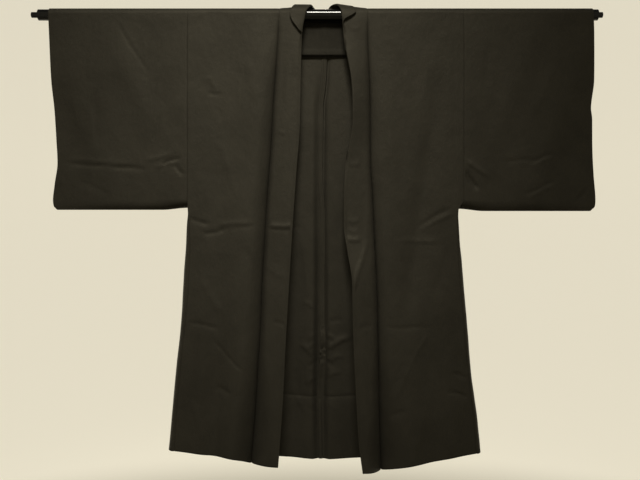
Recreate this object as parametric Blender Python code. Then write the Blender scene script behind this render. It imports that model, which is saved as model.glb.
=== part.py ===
"""Haori jacket hung on a rod that goes through both sleeves.

Metres, +Z up. The front faces -Y and +X is on the viewer's right. The origin is on the rod's axis,
under the middle of the neck. Pieces are named for the wearer, whose right side is at -X.
A "drop" is measured down from the rod's axis and an "out" is measured sideways from the middle.
"""

import math
from bisect import bisect_right

import bpy
import bmesh
from mathutils import Vector

# ---------------------------------------------------------------- driving dimensions

CLOTH = 0.002             # thickness of every cloth wall
SEAM_GAP = 0.0003         # between two pieces that are sewn together
UNSEWN_GAP = 0.0010       # beside the body where the sleeve's lowest part isn't sewn
LOOP_GAP = 0.0005         # between a tie loop and the collar
TURN_UP = 0.0008          # extra thickness where the hem is turned up inside

ROD_RADIUS = 0.0135
ROD_RIGHT_END = -0.699    # x of the tube's end at the wearer's right
ROD_LEFT_END = 0.665
STUB_RADIUS = 0.007
STUB_LENGTH = {"right": 0.017, "left": 0.012}
ROD_EDGE = 0.0010         # chamfer at the rod's ends
ROD_SIDES = 32
RIDE_RADIUS = ROD_RADIUS + 0.0006 + CLOTH / 2    # middle of the cloth where it rides on the rod
RIDE_STEPS = 8            # facets of the cloth over the rod

SIGN = {"right": -1, "left": 1}

# Level drops shared by every piece, so that sewn edges have the same corners.
SLEEVE_SEAM_END = 0.452   # the sleeve is sewn to the body down to here
GORE_TOP = 0.466
SLEEVE_FOOT = 0.4755
HANG_START = 0.51         # below this the hems' slopes stretch the levels
TURN_UP_TOP = 0.909
HEM = 1.057
LEVELS = [0.0, 0.05, 0.10, 0.15, 0.20, 0.255, 0.31, 0.36, 0.41, SLEEVE_SEAM_END, GORE_TOP,
          SLEEVE_FOOT, HANG_START, 0.56, 0.61, 0.66, 0.71, 0.76, 0.81, 0.86, TURN_UP_TOP,
          TURN_UP_TOP + 0.006, 0.96, 1.01, HEM]
CUFF_END = 0.255          # the cuff opening reaches from the shoulder to here

# Places across a panel: 0 at its sleeve side, 1 at the collar seam.
FRONT_ACROSS = [0.0, 0.12, 0.25, 0.38, 0.51, 0.63, 0.74, 0.84, 0.91, 0.96, 1.0]
NECK_ACROSS = [0.75, 0.50, 0.25, 0.0]            # shares of the neck's half width
SLEEVE_ACROSS = [0.0, 0.06, 0.20, 0.35, 0.50, 0.65, 0.80, 0.93, 1.0]
GORE_ACROSS = [0.0, 0.2, 0.4, 0.6, 0.8, 1.0]
COLLAR_ACROSS = [0.12, 0.35, 0.62, 0.86]         # shares of the way from the seam to the fold

NECK_DROP = 0.018         # the back neckline at its middle
BACK_NECK_OUT = {"right": 0.107, "left": 0.103}

SIDE_HEM = {"right": 1.056, "left": 1.062}
FRONT_HEM = {"right": 1.076, "left": 1.101}      # at the collar seam
COLLAR_HEM = {"right": 1.088, "left": 1.105}
BACK_HEM = 1.088          # at the centre-back seam

SLEEVE_BOTTOM_IN = {"right": 0.4700, "left": 0.4725}
SLEEVE_BOTTOM_OUT = {"right": 0.4750, "left": 0.4780}
SLEEVE_ROUND = 0.0095     # height of the rounding into the sleeve's bottom fold

FOLD_STEP = 0.0022        # facet of the collar's rounded fold
NECK_RUN = 0.105          # nominal length of half the back neckline
RIDE_RUN = 0.045          # nominal length of the collar seam over the rod

PATCH_OUT_COLUMN = 5      # the shoulder patch starts at this column of the back panels
PATCH_TOP = 0.0145
PATCH_FOOT = 0.0945

LOOP_DROP_LEVELS = (0.36, 0.41)                  # the tie loop lies between these levels
LOOP_UP_DOWN = (0.32, 0.66)                      # shares of the height between them
LOOP_ACROSS = (0.25, 0.65)                       # shares of one collar column

BLACK_OLIVE = (0.022, 0.020, 0.014, 1.0)
SHADED_OLIVE = (0.016, 0.014, 0.010, 1.0)
GLOSS_BLACK = (0.008, 0.008, 0.009, 1.0)


# ---------------------------------------------------------------- tables

def read_smooth(keys, values, key):
    """Cubic through the values that never overshoots them, held level outside the keys."""
    if key <= keys[0]:
        return values[0]
    if key >= keys[-1]:
        return values[-1]
    at = bisect_right(keys, key) - 1

    def secant(i):
        return (values[i + 1] - values[i]) / (keys[i + 1] - keys[i])

    def slope(i):
        if i == 0:
            return secant(0)
        if i == len(keys) - 1:
            return secant(i - 1)
        before, after = secant(i - 1), secant(i)
        if before * after <= 0:
            return 0.0
        return 2 * before * after / (before + after)

    span = keys[at + 1] - keys[at]
    t = (key - keys[at]) / span
    rise, fall = slope(at) * span, slope(at + 1) * span
    start, end = values[at], values[at + 1]
    return (start * (1 + 2 * t) * (1 - t) ** 2 + rise * t * (1 - t) ** 2
            + end * t * t * (3 - 2 * t) - fall * t * t * (1 - t))


class Table:
    """Rows of named columns, read smoothly along the first column."""

    def __init__(self, names, *rows):
        names = names.split()
        self.keys = [row[0] for row in rows]
        self.columns = {name: [row[i] for row in rows] for i, name in enumerate(names)}

    def read(self, name, key):
        return read_smooth(self.keys, self.columns[name], key)


# How far the two layers hang from the rod's middle plane, at the side seams.
HANG = Table(
    "drop    front    back",
    (0.000, -RIDE_RADIUS, RIDE_RADIUS),
    (0.100, -0.0158, 0.0156),
    (0.300, -0.0170, 0.0165),
    (0.452, -0.0180, 0.0175),
    (0.700, -0.0225, 0.0215),
    (0.900, -0.0265, 0.0250),
    (1.100, -0.0300, 0.0280),
)

# Each front: outs of its side seam and its collar seam, the depth of the collar seam,
# and how far the cloth beside that seam rounds forward.
FRONT = {
    "right": Table(
        "drop   side    seam    seam_y  ridge",
        (0.000, 0.3330, 0.1120, -RIDE_RADIUS, 0.000),
        (0.050, 0.3330, 0.1135, -0.0150, 0.002),
        (0.110, 0.3330, 0.1172, -0.0140, 0.005),
        (0.210, 0.3330, 0.1247, -0.0125, 0.007),
        (0.330, 0.3330, 0.1317, -0.0120, 0.008),
        (0.452, 0.3330, 0.1408, -0.0125, 0.008),
        (0.510, 0.3285, 0.1443, -0.0135, 0.008),
        (0.560, 0.3268, 0.1470, -0.0150, 0.008),
        (0.660, 0.3300, 0.1525, -0.0190, 0.008),
        (0.760, 0.3385, 0.1560, -0.0230, 0.008),
        (0.860, 0.3480, 0.1625, -0.0280, 0.008),
        (0.960, 0.3565, 0.1680, -0.0330, 0.007),
        (1.080, 0.3640, 0.1780, -0.0410, 0.006),
    ),
    "left": Table(
        "drop   side    seam    seam_y  ridge",
        (0.000, 0.3360, 0.1040, -RIDE_RADIUS, 0.000),
        (0.050, 0.3360, 0.1032, -0.0155, 0.001),
        (0.110, 0.3360, 0.1052, -0.0155, 0.002),
        (0.210, 0.3360, 0.1088, -0.0150, 0.004),
        (0.360, 0.3360, 0.1102, -0.0150, 0.004),
        (0.452, 0.3360, 0.1156, -0.0160, 0.005),
        (0.476, 0.3225, 0.1165, -0.0165, 0.005),
        (0.510, 0.3205, 0.1180, -0.0175, 0.005),
        (0.600, 0.3225, 0.1222, -0.0210, 0.005),
        (0.710, 0.3310, 0.1262, -0.0260, 0.005),
        (0.840, 0.3415, 0.1285, -0.0320, 0.005),
        (0.980, 0.3565, 0.1312, -0.0390, 0.005),
        (1.110, 0.3675, 0.1345, -0.0460, 0.005),
    ),
}

# Out of the gore's own fold, the widest line of the body.
GORE_EDGE = {
    "right": Table(
        "drop   out",
        (GORE_TOP, 0.3315),
        (SLEEVE_FOOT, 0.3300),
        (0.510, 0.3350),
        (0.560, 0.3378),
        (0.625, 0.3431),
        (0.756, 0.3506),
        (0.861, 0.3616),
        (0.986, 0.3726),
        (1.060, 0.3794),
    ),
    "left": Table(
        "drop   out",
        (GORE_TOP, 0.3250),
        (SLEEVE_FOOT, 0.3210),
        (0.510, 0.3238),
        (0.560, 0.3272),
        (0.600, 0.3320),
        (0.703, 0.3411),
        (0.756, 0.3455),
        (0.861, 0.3538),
        (0.978, 0.3692),
        (1.062, 0.3772),
    ),
}

# Out of the sleeve's cuff edge.
CUFF_EDGE = {
    "right": Table(
        "drop   out",
        (0.000, 0.6695),
        (0.050, 0.6670),
        (0.158, 0.6608),
        (0.227, 0.6530),
        (0.300, 0.6485),
        (0.360, 0.6432),
        (0.415, 0.6525),
        (0.452, 0.6560),
        (0.466, 0.6540),
        (0.480, 0.6400),
    ),
    "left": Table(
        "drop   out",
        (0.000, 0.6485),
        (0.050, 0.6500),
        (0.158, 0.6510),
        (0.227, 0.6430),
        (0.255, 0.6459),
        (0.336, 0.6451),
        (0.389, 0.6480),
        (0.452, 0.6526),
        (0.466, 0.6510),
        (0.480, 0.6375),
    ),
}

# Half the distance between a sleeve's two layers, in its middle and at its cuff edge.
SLEEVE_GAP = Table(
    "drop   middle  cuff",
    (0.000, RIDE_RADIUS, RIDE_RADIUS),
    (0.050, 0.0150, 0.0140),
    (0.100, 0.0148, 0.0125),
    (0.200, 0.0138, 0.0080),
    (0.255, 0.0128, 0.0040),
    (0.310, 0.0122, 0.0022),
    (0.410, 0.0118, 0.0022),
    (0.452, 0.0105, 0.0022),
    (0.466, 0.0072, 0.0022),
    (0.480, 0.0000, 0.0000),
)

# The collar's folded or free edge, the bow of the band between seam and edge, and the part that
# is turned over to the outside: its width and how far round it is turned, in degrees.
# "along" runs from the middle of the back neck over the rod and down the front.
COLLAR_EDGE = {
    "right": Table(
        "along  out     y        z        bow    turned angle",
        (0.000, 0.0000, 0.0285, 0.0125, 0.000, 0.033, 178),
        (0.040, 0.0080, 0.0272, 0.0122, 0.000, 0.032, 178),
        (0.080, 0.0190, 0.0222, 0.0150, 0.000, 0.026, 175),
        (0.105, 0.0270, 0.0125, 0.0205, 0.000, 0.019, 170),
        (0.1275, 0.0325, 0.0010, 0.0222, 0.000, 0.012, 165),
        (0.150, 0.0450, -0.0165, 0.0060, 0.001, 0.008, 140),
        (0.180, 0.0535, -0.0205, -0.0300, 0.002, 0.006, 110),
        (0.250, 0.0575, -0.0225, -0.1000, 0.002, 0.006, 90),
        (0.360, 0.0598, -0.0235, -0.2100, 0.006, 0.004, 30),
        (0.410, 0.0605, -0.0240, -0.2600, 0.008, 0.004, 10),
        (0.530, 0.0690, -0.0255, -0.3800, 0.008, 0.004, 10),
        (0.650, 0.0773, -0.0285, -0.5000, 0.007, 0.004, 10),
        (0.840, 0.0885, -0.0345, -0.6900, 0.006, 0.004, 10),
        (0.950, 0.0946, -0.0385, -0.8000, 0.006, 0.004, 10),
        (1.070, 0.1001, -0.0445, -0.9200, 0.005, 0.004, 10),
        (1.174, 0.1069, -0.0500, -1.0240, 0.005, 0.004, 10),
        (1.240, 0.1120, -0.0545, -1.0890, 0.005, 0.004, 10),
    ),
    "left": Table(
        "along  out     y        z        bow    turned angle",
        (0.000, 0.0000, 0.0285, 0.0125, 0.000, 0.033, 178),
        (0.040, 0.0060, 0.0275, 0.0132, 0.000, 0.032, 178),
        (0.080, 0.0130, 0.0225, 0.0185, 0.000, 0.026, 175),
        (0.105, 0.0200, 0.0130, 0.0228, 0.000, 0.019, 170),
        (0.1275, 0.0290, 0.0010, 0.0232, 0.000, 0.014, 165),
        (0.150, 0.0390, -0.0165, 0.0060, 0.001, 0.009, 140),
        (0.180, 0.0430, -0.0220, -0.0300, 0.001, 0.008, 120),
        (0.250, 0.0525, -0.0275, -0.1000, 0.000, 0.012, 150),
        (0.310, 0.0635, -0.0310, -0.1600, 0.000, 0.018, 172),
        (0.365, 0.0670, -0.0320, -0.2150, 0.000, 0.021, 175),
        (0.420, 0.0665, -0.0300, -0.2700, 0.000, 0.018, 170),
        (0.470, 0.0580, -0.0270, -0.3200, 0.002, 0.009, 120),
        (0.530, 0.0485, -0.0260, -0.3800, 0.004, 0.004, 20),
        (0.600, 0.0455, -0.0255, -0.4500, 0.005, 0.004, 10),
        (0.665, 0.0455, -0.0270, -0.5150, 0.006, 0.004, 10),
        (0.725, 0.0535, -0.0330, -0.5750, 0.006, 0.004, 10),
        (0.800, 0.0645, -0.0440, -0.6500, 0.006, 0.004, 10),
        (0.880, 0.0658, -0.0480, -0.7300, 0.007, 0.004, 10),
        (0.990, 0.0695, -0.0540, -0.8400, 0.008, 0.004, 10),
        (1.085, 0.0742, -0.0610, -0.9350, 0.009, 0.004, 10),
        (1.180, 0.0790, -0.0710, -1.0250, 0.010, 0.004, 10),
        (1.260, 0.0885, -0.0800, -1.1000, 0.010, 0.004, 10),
    ),
}

# Large soft folds of the layers: a ridge stands away from the garment, a trough (negative
# height) dips into it. Each runs from its top to its foot and fades out at both.
FOLD_NAMES = ("top_out", "top_drop", "foot_out", "foot_drop", "half_width", "height")
FRONT_FOLDS = {
    "right": [
        (0.215, 0.300, 0.235, 1.350, 0.030, 0.005),
        (0.290, 0.480, 0.305, 1.400, 0.026, 0.004),
        (0.258, 0.560, 0.270, 1.450, 0.022, -0.004),
    ],
    "left": [
        (0.255, 0.120, 0.185, 0.780, 0.028, -0.005),
        (0.210, 0.600, 0.225, 1.450, 0.034, 0.005),
        (0.290, 0.560, 0.305, 1.400, 0.028, 0.004),
    ],
}
BACK_FOLDS = {
    "right": [
        (0.265, 0.100, 0.250, 1.300, 0.035, 0.006),
        (0.165, 0.280, 0.175, 1.450, 0.030, 0.007),
        (0.065, 0.480, 0.080, 1.450, 0.026, 0.005),
    ],
    "left": [
        (0.235, 0.140, 0.255, 1.350, 0.040, 0.006),
        (0.135, 0.240, 0.145, 1.400, 0.028, 0.006),
        (0.055, 0.520, 0.055, 1.450, 0.024, 0.004),
    ],
}
SLEEVE_FOLDS = {
    "right": [
        (0.520, 0.020, 0.405, 0.330, 0.035, 0.003),
        (0.640, 0.080, 0.520, 0.470, 0.035, 0.003),
    ],
    "left": [
        (0.500, 0.040, 0.400, 0.360, 0.032, 0.003),
        (0.610, 0.120, 0.480, 0.500, 0.038, 0.003),
    ],
}


# ---------------------------------------------------------------- small maths

def mix(low, high, share):
    return low + (high - low) * share


def ease(share):
    """0 to 1 with level ends."""
    share = min(1.0, max(0.0, share))
    return share * share * (3 - 2 * share)


def folds_height(folds, out, drop):
    """Sum of the folds' heights at one place of a layer."""
    total = 0.0
    for row in folds:
        fold = dict(zip(FOLD_NAMES, row))
        share = (drop - fold["top_drop"]) / (fold["foot_drop"] - fold["top_drop"])
        if not 0 < share < 1:
            continue
        middle = mix(fold["top_out"], fold["foot_out"], share)
        aside = (out - middle) / fold["half_width"]
        total += fold["height"] * math.sin(math.pi * share) * math.exp(-aside * aside)
    return total


def away_from_edges(across):
    """0 on a panel's two sewn edges and 1 between them."""
    return ease(min(across, 1 - across) / 0.25)


# ---------------------------------------------------------------- the garment's surfaces

def front_point(side, across, level):
    """Middle of the front layer's cloth. A level is a drop before the hem's slope."""
    front = FRONT[side]
    hem = mix(SIDE_HEM[side], FRONT_HEM[side], across)
    drop = level + (hem - HEM) * ease((level - HANG_START) / (HEM - HANG_START))
    side_out = front.read("side", drop)
    out = mix(side_out, front.read("seam", drop), across)
    y = mix(HANG.read("front", drop), front.read("seam_y", drop), across ** 1.5)
    share = max(0.0, (across - 0.45) / 0.55)
    y -= front.read("ridge", drop) * math.sin(math.pi * share ** 1.8)
    y -= folds_height(FRONT_FOLDS[side], out, drop) * away_from_edges(across)
    return Vector((SIGN[side] * out, y, -drop))


def back_point(side, top_out, level):
    """Middle of the back layer's cloth, on the column that is top_out wide at the shoulder."""
    side_top = FRONT[side].read("side", 0.0)
    share = top_out / side_top
    hem = mix(BACK_HEM, SIDE_HEM[side], share ** 1.2)
    drop = level + (hem - HEM) * ease((level - HANG_START) / (HEM - HANG_START))
    out = share * FRONT[side].read("side", drop)
    y = HANG.read("back", drop)
    y += folds_height(BACK_FOLDS[side], out, drop) * away_from_edges(share)
    return Vector((SIGN[side] * out, y, -drop))


def ride_point(out, share):
    """Middle of the cloth over the rod: share 0 at the front, 1 at the back."""
    angle = math.pi * share
    return Vector((out, -RIDE_RADIUS * math.cos(angle), RIDE_RADIUS * math.sin(angle)))


def ride_normal(share):
    angle = math.pi * share
    return Vector((0, -math.cos(angle), math.sin(angle)))


def neckline_drop(out, side):
    return NECK_DROP * (1 - (out / BACK_NECK_OUT[side]) ** 2)


def front_columns(side, share):
    """Outs of the front's columns over the rod; share as in ride_point."""
    side_out = FRONT[side].read("side", 0.0)
    neck_out = mix(FRONT[side].read("seam", 0.0), BACK_NECK_OUT[side], share)
    return [mix(side_out, neck_out, across) for across in FRONT_ACROSS]


def back_columns(side):
    """Outs of the back's columns at the shoulder, from the side to the middle."""
    return front_columns(side, 1.0) + [BACK_NECK_OUT[side] * share for share in NECK_ACROSS]


# ---------------------------------------------------------------- seams

class Seam:
    """One corner of a seam that two pieces share: its point, the outward normal that both walls
    take there, and the direction from the first piece to the second."""

    def __init__(self, point, normal, onward):
        self.point = point
        self.normal = Vector(normal).normalized()
        self.onward = Vector(onward).normalized()

    def first(self):
        return self.point - self.onward * (SEAM_GAP / 2)

    def second(self):
        return self.point + self.onward * (SEAM_GAP / 2)


def sleeve_seam(side):
    """From the front's end of the sleeve seam, over the rod, to the back's."""
    sign = SIGN[side]
    levels = [level for level in LEVELS if level <= SLEEVE_SEAM_END]
    seam = []
    for level in reversed(levels):
        seam.append(Seam(front_point(side, 0.0, level), (0, -1, 0), (sign, 0, 0)))
    for step in range(1, RIDE_STEPS):
        share = step / RIDE_STEPS
        point = ride_point(sign * FRONT[side].read("side", 0.0), share)
        seam.append(Seam(point, ride_normal(share), (sign, 0, 0)))
    side_top = FRONT[side].read("side", 0.0)
    for level in levels:
        seam.append(Seam(back_point(side, side_top, level), (0, 1, 0), (sign, 0, 0)))
    return seam


def gore_seams(side):
    """Two lists from the gore's top to the hem: its seam with the front and with the back."""
    sign = SIGN[side]
    side_top = FRONT[side].read("side", 0.0)
    levels = [level for level in LEVELS if level >= GORE_TOP]
    front = [Seam(front_point(side, 0.0, level), (sign, -1, 0), (sign, 1, 0))
             for level in levels]
    back = [Seam(back_point(side, side_top, level), (sign, 1, 0), (sign, -1, 0))
            for level in levels]
    return front, back


def collar_seam(side):
    """From the body's front hem, over the rod and along the back neckline to its middle.
    Each corner comes with its place along the collar."""
    sign = SIGN[side]
    seam = []
    for level in reversed(LEVELS):
        point = front_point(side, 1.0, level)
        seam.append((NECK_RUN + RIDE_RUN - point.z, Seam(point, (0, -1, 0), (-sign, 0, 0))))
    for step in range(1, RIDE_STEPS):
        share = step / RIDE_STEPS
        out = front_columns(side, share)[-1]
        corner = Seam(ride_point(sign * out, share), ride_normal(share), (-sign, 0, 0))
        seam.append((NECK_RUN + RIDE_RUN * (1 - share), corner))
    for share in [1.0] + NECK_ACROSS:
        out = share * BACK_NECK_OUT[side]
        point = Vector((sign * out, RIDE_RADIUS, -neckline_drop(out, side)))
        lean = share * share
        seam.append((NECK_RUN * share, Seam(point, (0, 1, 0), (-sign * lean, 0, 1))))
    return seam


# ---------------------------------------------------------------- cloth walls

class Sheet:
    """The middle surface of a cloth wall, as points and quads, made into a closed wall."""

    def __init__(self):
        self.points = []
        self.cells = []
        self.set_normals = {}
        self.extra_inside = {}

    def add(self, point, normal=None, extra=0.0):
        index = len(self.points)
        self.points.append(Vector(point))
        if normal is not None:
            self.set_normals[index] = Vector(normal).normalized()
        if extra:
            self.extra_inside[index] = extra
        return index

    def cell(self, corners, flip=False):
        corners = list(dict.fromkeys(corners))
        self.cells.append(corners[::-1] if flip else corners)

    def grid(self, rows, flip=False, closed=False):
        """Quads between rows of point numbers; closed joins the last row to the first."""
        count = len(rows) if closed else len(rows) - 1
        for i in range(count):
            low, high = rows[i], rows[(i + 1) % len(rows)]
            for j in range(min(len(low), len(high)) - 1):
                self.cell((low[j], high[j], high[j + 1], low[j + 1]), flip)

    def normals(self):
        sums = [Vector() for _ in self.points]
        for cell in self.cells:
            corners = [self.points[i] for i in cell]
            area = Vector()
            for a, b in zip(corners, corners[1:] + corners[:1]):
                area += a.cross(b)
            for i in cell:
                sums[i] += area
        return [self.set_normals.get(i, total.normalized()) for i, total in enumerate(sums)]

    def open_edges(self):
        seen = {}
        for cell in self.cells:
            for a, b in zip(cell, cell[1:] + cell[:1]):
                seen[(a, b)] = True
        return [edge for edge in seen if (edge[1], edge[0]) not in seen]

    def wall(self, name, material):
        """Closed solid of the cloth's thickness round the middle surface."""
        mesh_maker = bmesh.new()
        outer, inner = [], []
        for i, (point, normal) in enumerate(zip(self.points, self.normals())):
            inside = CLOTH / 2 + self.extra_inside.get(i, 0.0)
            outer.append(mesh_maker.verts.new(point + normal * (CLOTH / 2)))
            inner.append(mesh_maker.verts.new(point - normal * inside))
        for cell in self.cells:
            mesh_maker.faces.new([outer[i] for i in cell])
            mesh_maker.faces.new([inner[i] for i in reversed(cell)])
        for a, b in self.open_edges():
            mesh_maker.faces.new((outer[b], outer[a], inner[a], inner[b]))
        return add_object(name, mesh_maker, material)


def add_object(name, mesh_maker, material):
    mesh = bpy.data.meshes.new(name)
    mesh_maker.to_mesh(mesh)
    mesh_maker.free()
    mesh.materials.append(material)
    mesh.shade_smooth()
    mesh.set_sharp_from_angle(angle=math.radians(35))
    piece = bpy.data.objects.new(name, mesh)
    bpy.context.scene.collection.objects.link(piece)
    return piece


def make_material(name, color, roughness, metallic=0.0):
    material = bpy.data.materials.new(name)
    material.use_nodes = True
    shader = material.node_tree.nodes["Principled BSDF"]
    shader.inputs["Base Color"].default_value = color
    shader.inputs["Roughness"].default_value = roughness
    shader.inputs["Metallic"].default_value = metallic
    return material


# ---------------------------------------------------------------- the pieces

def turn_up_extra(level):
    """The turned-up hem makes the wall thicker on its inside."""
    return TURN_UP if level > TURN_UP_TOP else 0.0


def body_panel(side, material):
    """One length of cloth from the front hem over the rod to the back hem."""
    sheet = Sheet()
    sleeve = sleeve_seam(side)
    gore_front, gore_back = gore_seams(side)
    neck = [corner for _, corner in collar_seam(side)]
    outs = back_columns(side)
    last = len(FRONT_ACROSS) - 1
    edge = gore_front[::-1] + sleeve + gore_back
    rows = []

    def sewn(corner, extra=0.0):
        return sheet.add(corner.first(), corner.normal, extra)

    for i, level in enumerate(reversed(LEVELS)):
        extra = turn_up_extra(level)
        row = [sewn(edge[i], extra)]
        row += [sheet.add(front_point(side, across, level), None, extra)
                for across in FRONT_ACROSS[1:-1]]
        row.append(sewn(neck[i], extra))
        rows.append(row)
    for step in range(1, RIDE_STEPS):
        share = step / RIDE_STEPS
        i = len(rows)
        row = [sewn(edge[i])]
        row += [sheet.add(ride_point(SIGN[side] * out, share))
                for out in front_columns(side, share)[1:-1]]
        row.append(sewn(neck[i]))
        rows.append(row)
    for level in LEVELS:
        extra = turn_up_extra(level)
        row = [sewn(edge[len(rows)], extra)]
        if level == 0.0:
            row += [sheet.add(back_point(side, out, level)) for out in outs[1:last]]
            row += [sewn(corner) for corner in neck[len(rows):]]
        else:
            row += [sheet.add(back_point(side, out, level), None, extra) for out in outs[1:]]
        middle = row[-1]
        sheet.points[middle].x = SIGN[side] * SEAM_GAP / 2
        sheet.set_normals[middle] = Vector((0, 1, 0))
        rows.append(row)
    sheet.grid(rows, flip=SIGN[side] < 0)
    return sheet.wall(f"body_{side}", material)


def sleeve_depth(side, share, level):
    """Half the distance between the sleeve's layers; share 0 at the seam, 1 at the cuff."""
    if level == SLEEVE_FOOT:
        return 0.0
    drop = min(level, GORE_TOP)
    at_seam = 0.011 if level == GORE_TOP else -HANG.read("front", drop)
    near_seam = 1 - ease(share / 0.3)
    near_cuff = ease((share - 0.5) / 0.5)
    middle = SLEEVE_GAP.read("middle", drop)
    return (at_seam * near_seam + SLEEVE_GAP.read("cuff", drop) * near_cuff
            + middle * (1 - near_seam - near_cuff))


def sleeve_point(side, share, level, layer):
    """Middle of the sleeve's cloth; layer -1 is the front one, 1 the back one."""
    bottom = mix(SLEEVE_BOTTOM_IN[side], SLEEVE_BOTTOM_OUT[side], ease(share / 0.2))
    drop = level
    if level == SLEEVE_FOOT:
        drop = bottom
    elif level == GORE_TOP:
        drop = bottom - SLEEVE_ROUND
    seam_out = FRONT[side].read("side", drop) + UNSEWN_GAP
    out = mix(seam_out, CUFF_EDGE[side].read("out", drop), share)
    depth = sleeve_depth(side, share, level)
    if level <= SLEEVE_SEAM_END:
        depth += folds_height(SLEEVE_FOLDS[side], out, drop) * away_from_edges(share)
    return Vector((SIGN[side] * out, layer * depth, -drop))


def sleeve(side, material):
    """A flat tube over the rod, sewn shut at its bottom and below the cuff opening."""
    sheet = Sheet()
    seam = sleeve_seam(side)
    levels = [level for level in LEVELS if level < SLEEVE_FOOT]
    side_out = FRONT[side].read("side", 0.0)
    cuff_out = CUFF_EDGE[side].read("out", 0.0)
    rows = []

    def layer_rows(layer, ordered):
        for level in ordered:
            row = []
            for share in SLEEVE_ACROSS:
                if share == 0.0 and level <= SLEEVE_SEAM_END:
                    corner = seam[len(rows) - 1]
                    row.append(sheet.add(corner.second(), corner.normal))
                else:
                    row.append(sheet.add(sleeve_point(side, share, level, layer)))
            rows.append(row)

    layer_rows(-1, levels[::-1])
    for step in range(1, RIDE_STEPS):
        share_over = step / RIDE_STEPS
        row = []
        for share in SLEEVE_ACROSS:
            if share == 0.0:
                corner = seam[len(rows) - 1]
                row.append(sheet.add(corner.second(), corner.normal))
            else:
                out = mix(side_out, cuff_out, share)
                row.append(sheet.add(ride_point(SIGN[side] * out, share_over)))
        rows.append(row)
    layer_rows(1, levels)
    rows.append([sheet.add(sleeve_point(side, share, SLEEVE_FOOT, 0))
                 for share in SLEEVE_ACROSS])
    flip = SIGN[side] > 0
    sheet.grid(rows, flip=flip, closed=True)
    closed_below = [i for i, level in enumerate(levels) if level >= CUFF_END]
    front_edge = [rows[len(levels) - 1 - i][-1] for i in closed_below] + [rows[-1][-1]]
    back_start = len(levels) + RIDE_STEPS - 1
    back_edge = [rows[back_start + i][-1] for i in closed_below] + [rows[-1][-1]]
    sheet.grid([front_edge, back_edge], flip=flip)
    return sheet.wall(f"sleeve_{side}", material)


def gore(side, material):
    """Wedge between the front and the back panel, rounding outwards between its two seams."""
    sheet = Sheet()
    rows = []
    for front, back in zip(*gore_seams(side)):
        start, end = front.second(), back.second()
        side_out = abs(front.point.x)
        extra = turn_up_extra(-front.point.z)
        bulge = GORE_EDGE[side].read("out", -front.point.z) - side_out
        row = [sheet.add(start, front.normal, extra)]
        for across in GORE_ACROSS[1:-1]:
            y = mix(start.y, end.y, (1 - math.cos(math.pi * across)) / 2)
            out = side_out + bulge * math.sin(math.pi * across) ** 0.8
            row.append(sheet.add((SIGN[side] * out, y, start.z), None, extra))
        row.append(sheet.add(end, back.normal, extra))
        rows.append(row)
    sheet.grid(rows, flip=SIGN[side] < 0)
    return sheet.wall(f"gore_{side}", material)


def collar_section(side, along, corner):
    """Points across the band from its seam to its free edge."""
    edge = COLLAR_EDGE[side]
    tip = Vector((SIGN[side] * edge.read("out", along), edge.read("y", along),
                  edge.read("z", along)))
    start = corner.second()
    inward = (tip - start).normalized()
    outward = (corner.normal - inward * corner.normal.dot(inward)).normalized()
    turned = edge.read("turned", along)
    turn = math.radians(edge.read("angle", along))

    def heading(share):
        return inward * math.cos(turn * share) + outward * math.sin(turn * share)

    steps = [heading(1 / 3) * FOLD_STEP, heading(2 / 3) * FOLD_STEP,
             heading(1) * turned / 2, heading(1) * turned / 2]
    reach, furthest = 0.0, 0.0
    for step in steps:
        reach += step.dot(inward)
        furthest = max(furthest, reach)
    fold = tip - inward * furthest
    bow = edge.read("bow", along)
    points = [start]
    for share in COLLAR_ACROSS:
        points.append(start.lerp(fold, share) + outward * (bow * 4 * share * (1 - share)))
    points.append(fold)
    for step in steps:
        points.append(points[-1] + step)
    return points


def collar_sections():
    """Sections from the wearer's right hem, round the neck, to the left hem."""
    halves = {}
    for side in SIGN:
        seam = collar_seam(side)
        along, low = seam[0]
        reach = COLLAR_HEM[side] + low.point.z
        foot = Seam(low.point - Vector((0, 0, reach)), low.normal, low.onward)
        seam = [(along + reach, foot)] + seam
        halves[side] = [(collar_section(side, place, corner), corner.normal)
                        for place, corner in seam]
    return halves["right"] + halves["left"][-2::-1]


def collar(material):
    sheet = Sheet()
    rows = []
    for points, normal in collar_sections():
        row = [sheet.add(points[0], normal)]
        row += [sheet.add(point) for point in points[1:]]
        rows.append(row)
    sheet.grid(rows, flip=True)
    return sheet.wall("collar", material)


def shoulder_patch(material):
    """Self-cloth patch that lies inside the two back panels, under the back neck."""
    sheet = Sheet()
    inward = Vector((0, -(CLOTH + SEAM_GAP), 0))

    def column(side, top_out):
        neck = neckline_drop(top_out, side) if top_out < BACK_NECK_OUT[side] else 0.0
        shoulder = Vector((SIGN[side] * top_out, RIDE_RADIUS, -neck))
        middle = back_point(side, top_out, LEVELS[1])
        low = back_point(side, top_out, LEVELS[2])
        top = max(PATCH_TOP, neck + 0.004)
        foot = PATCH_FOOT + 0.002 * (1 - (top_out / 0.2) ** 2)
        start = shoulder.lerp(middle, (top + shoulder.z) / (shoulder.z - middle.z))
        end = middle.lerp(low, (foot + middle.z) / (middle.z - low.z))
        return [start + inward, middle + inward, end + inward]

    outs = back_columns("right")[PATCH_OUT_COLUMN:]
    columns = [column("right", out) for out in outs]
    columns += [column("left", out) for out in back_columns("left")[PATCH_OUT_COLUMN:-1][::-1]]
    rows = [[sheet.add(points[i], (0, 1, 0)) for points in columns] for i in range(3)]
    sheet.grid(rows, flip=True)
    return sheet.wall("shoulder_patch", material)


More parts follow.
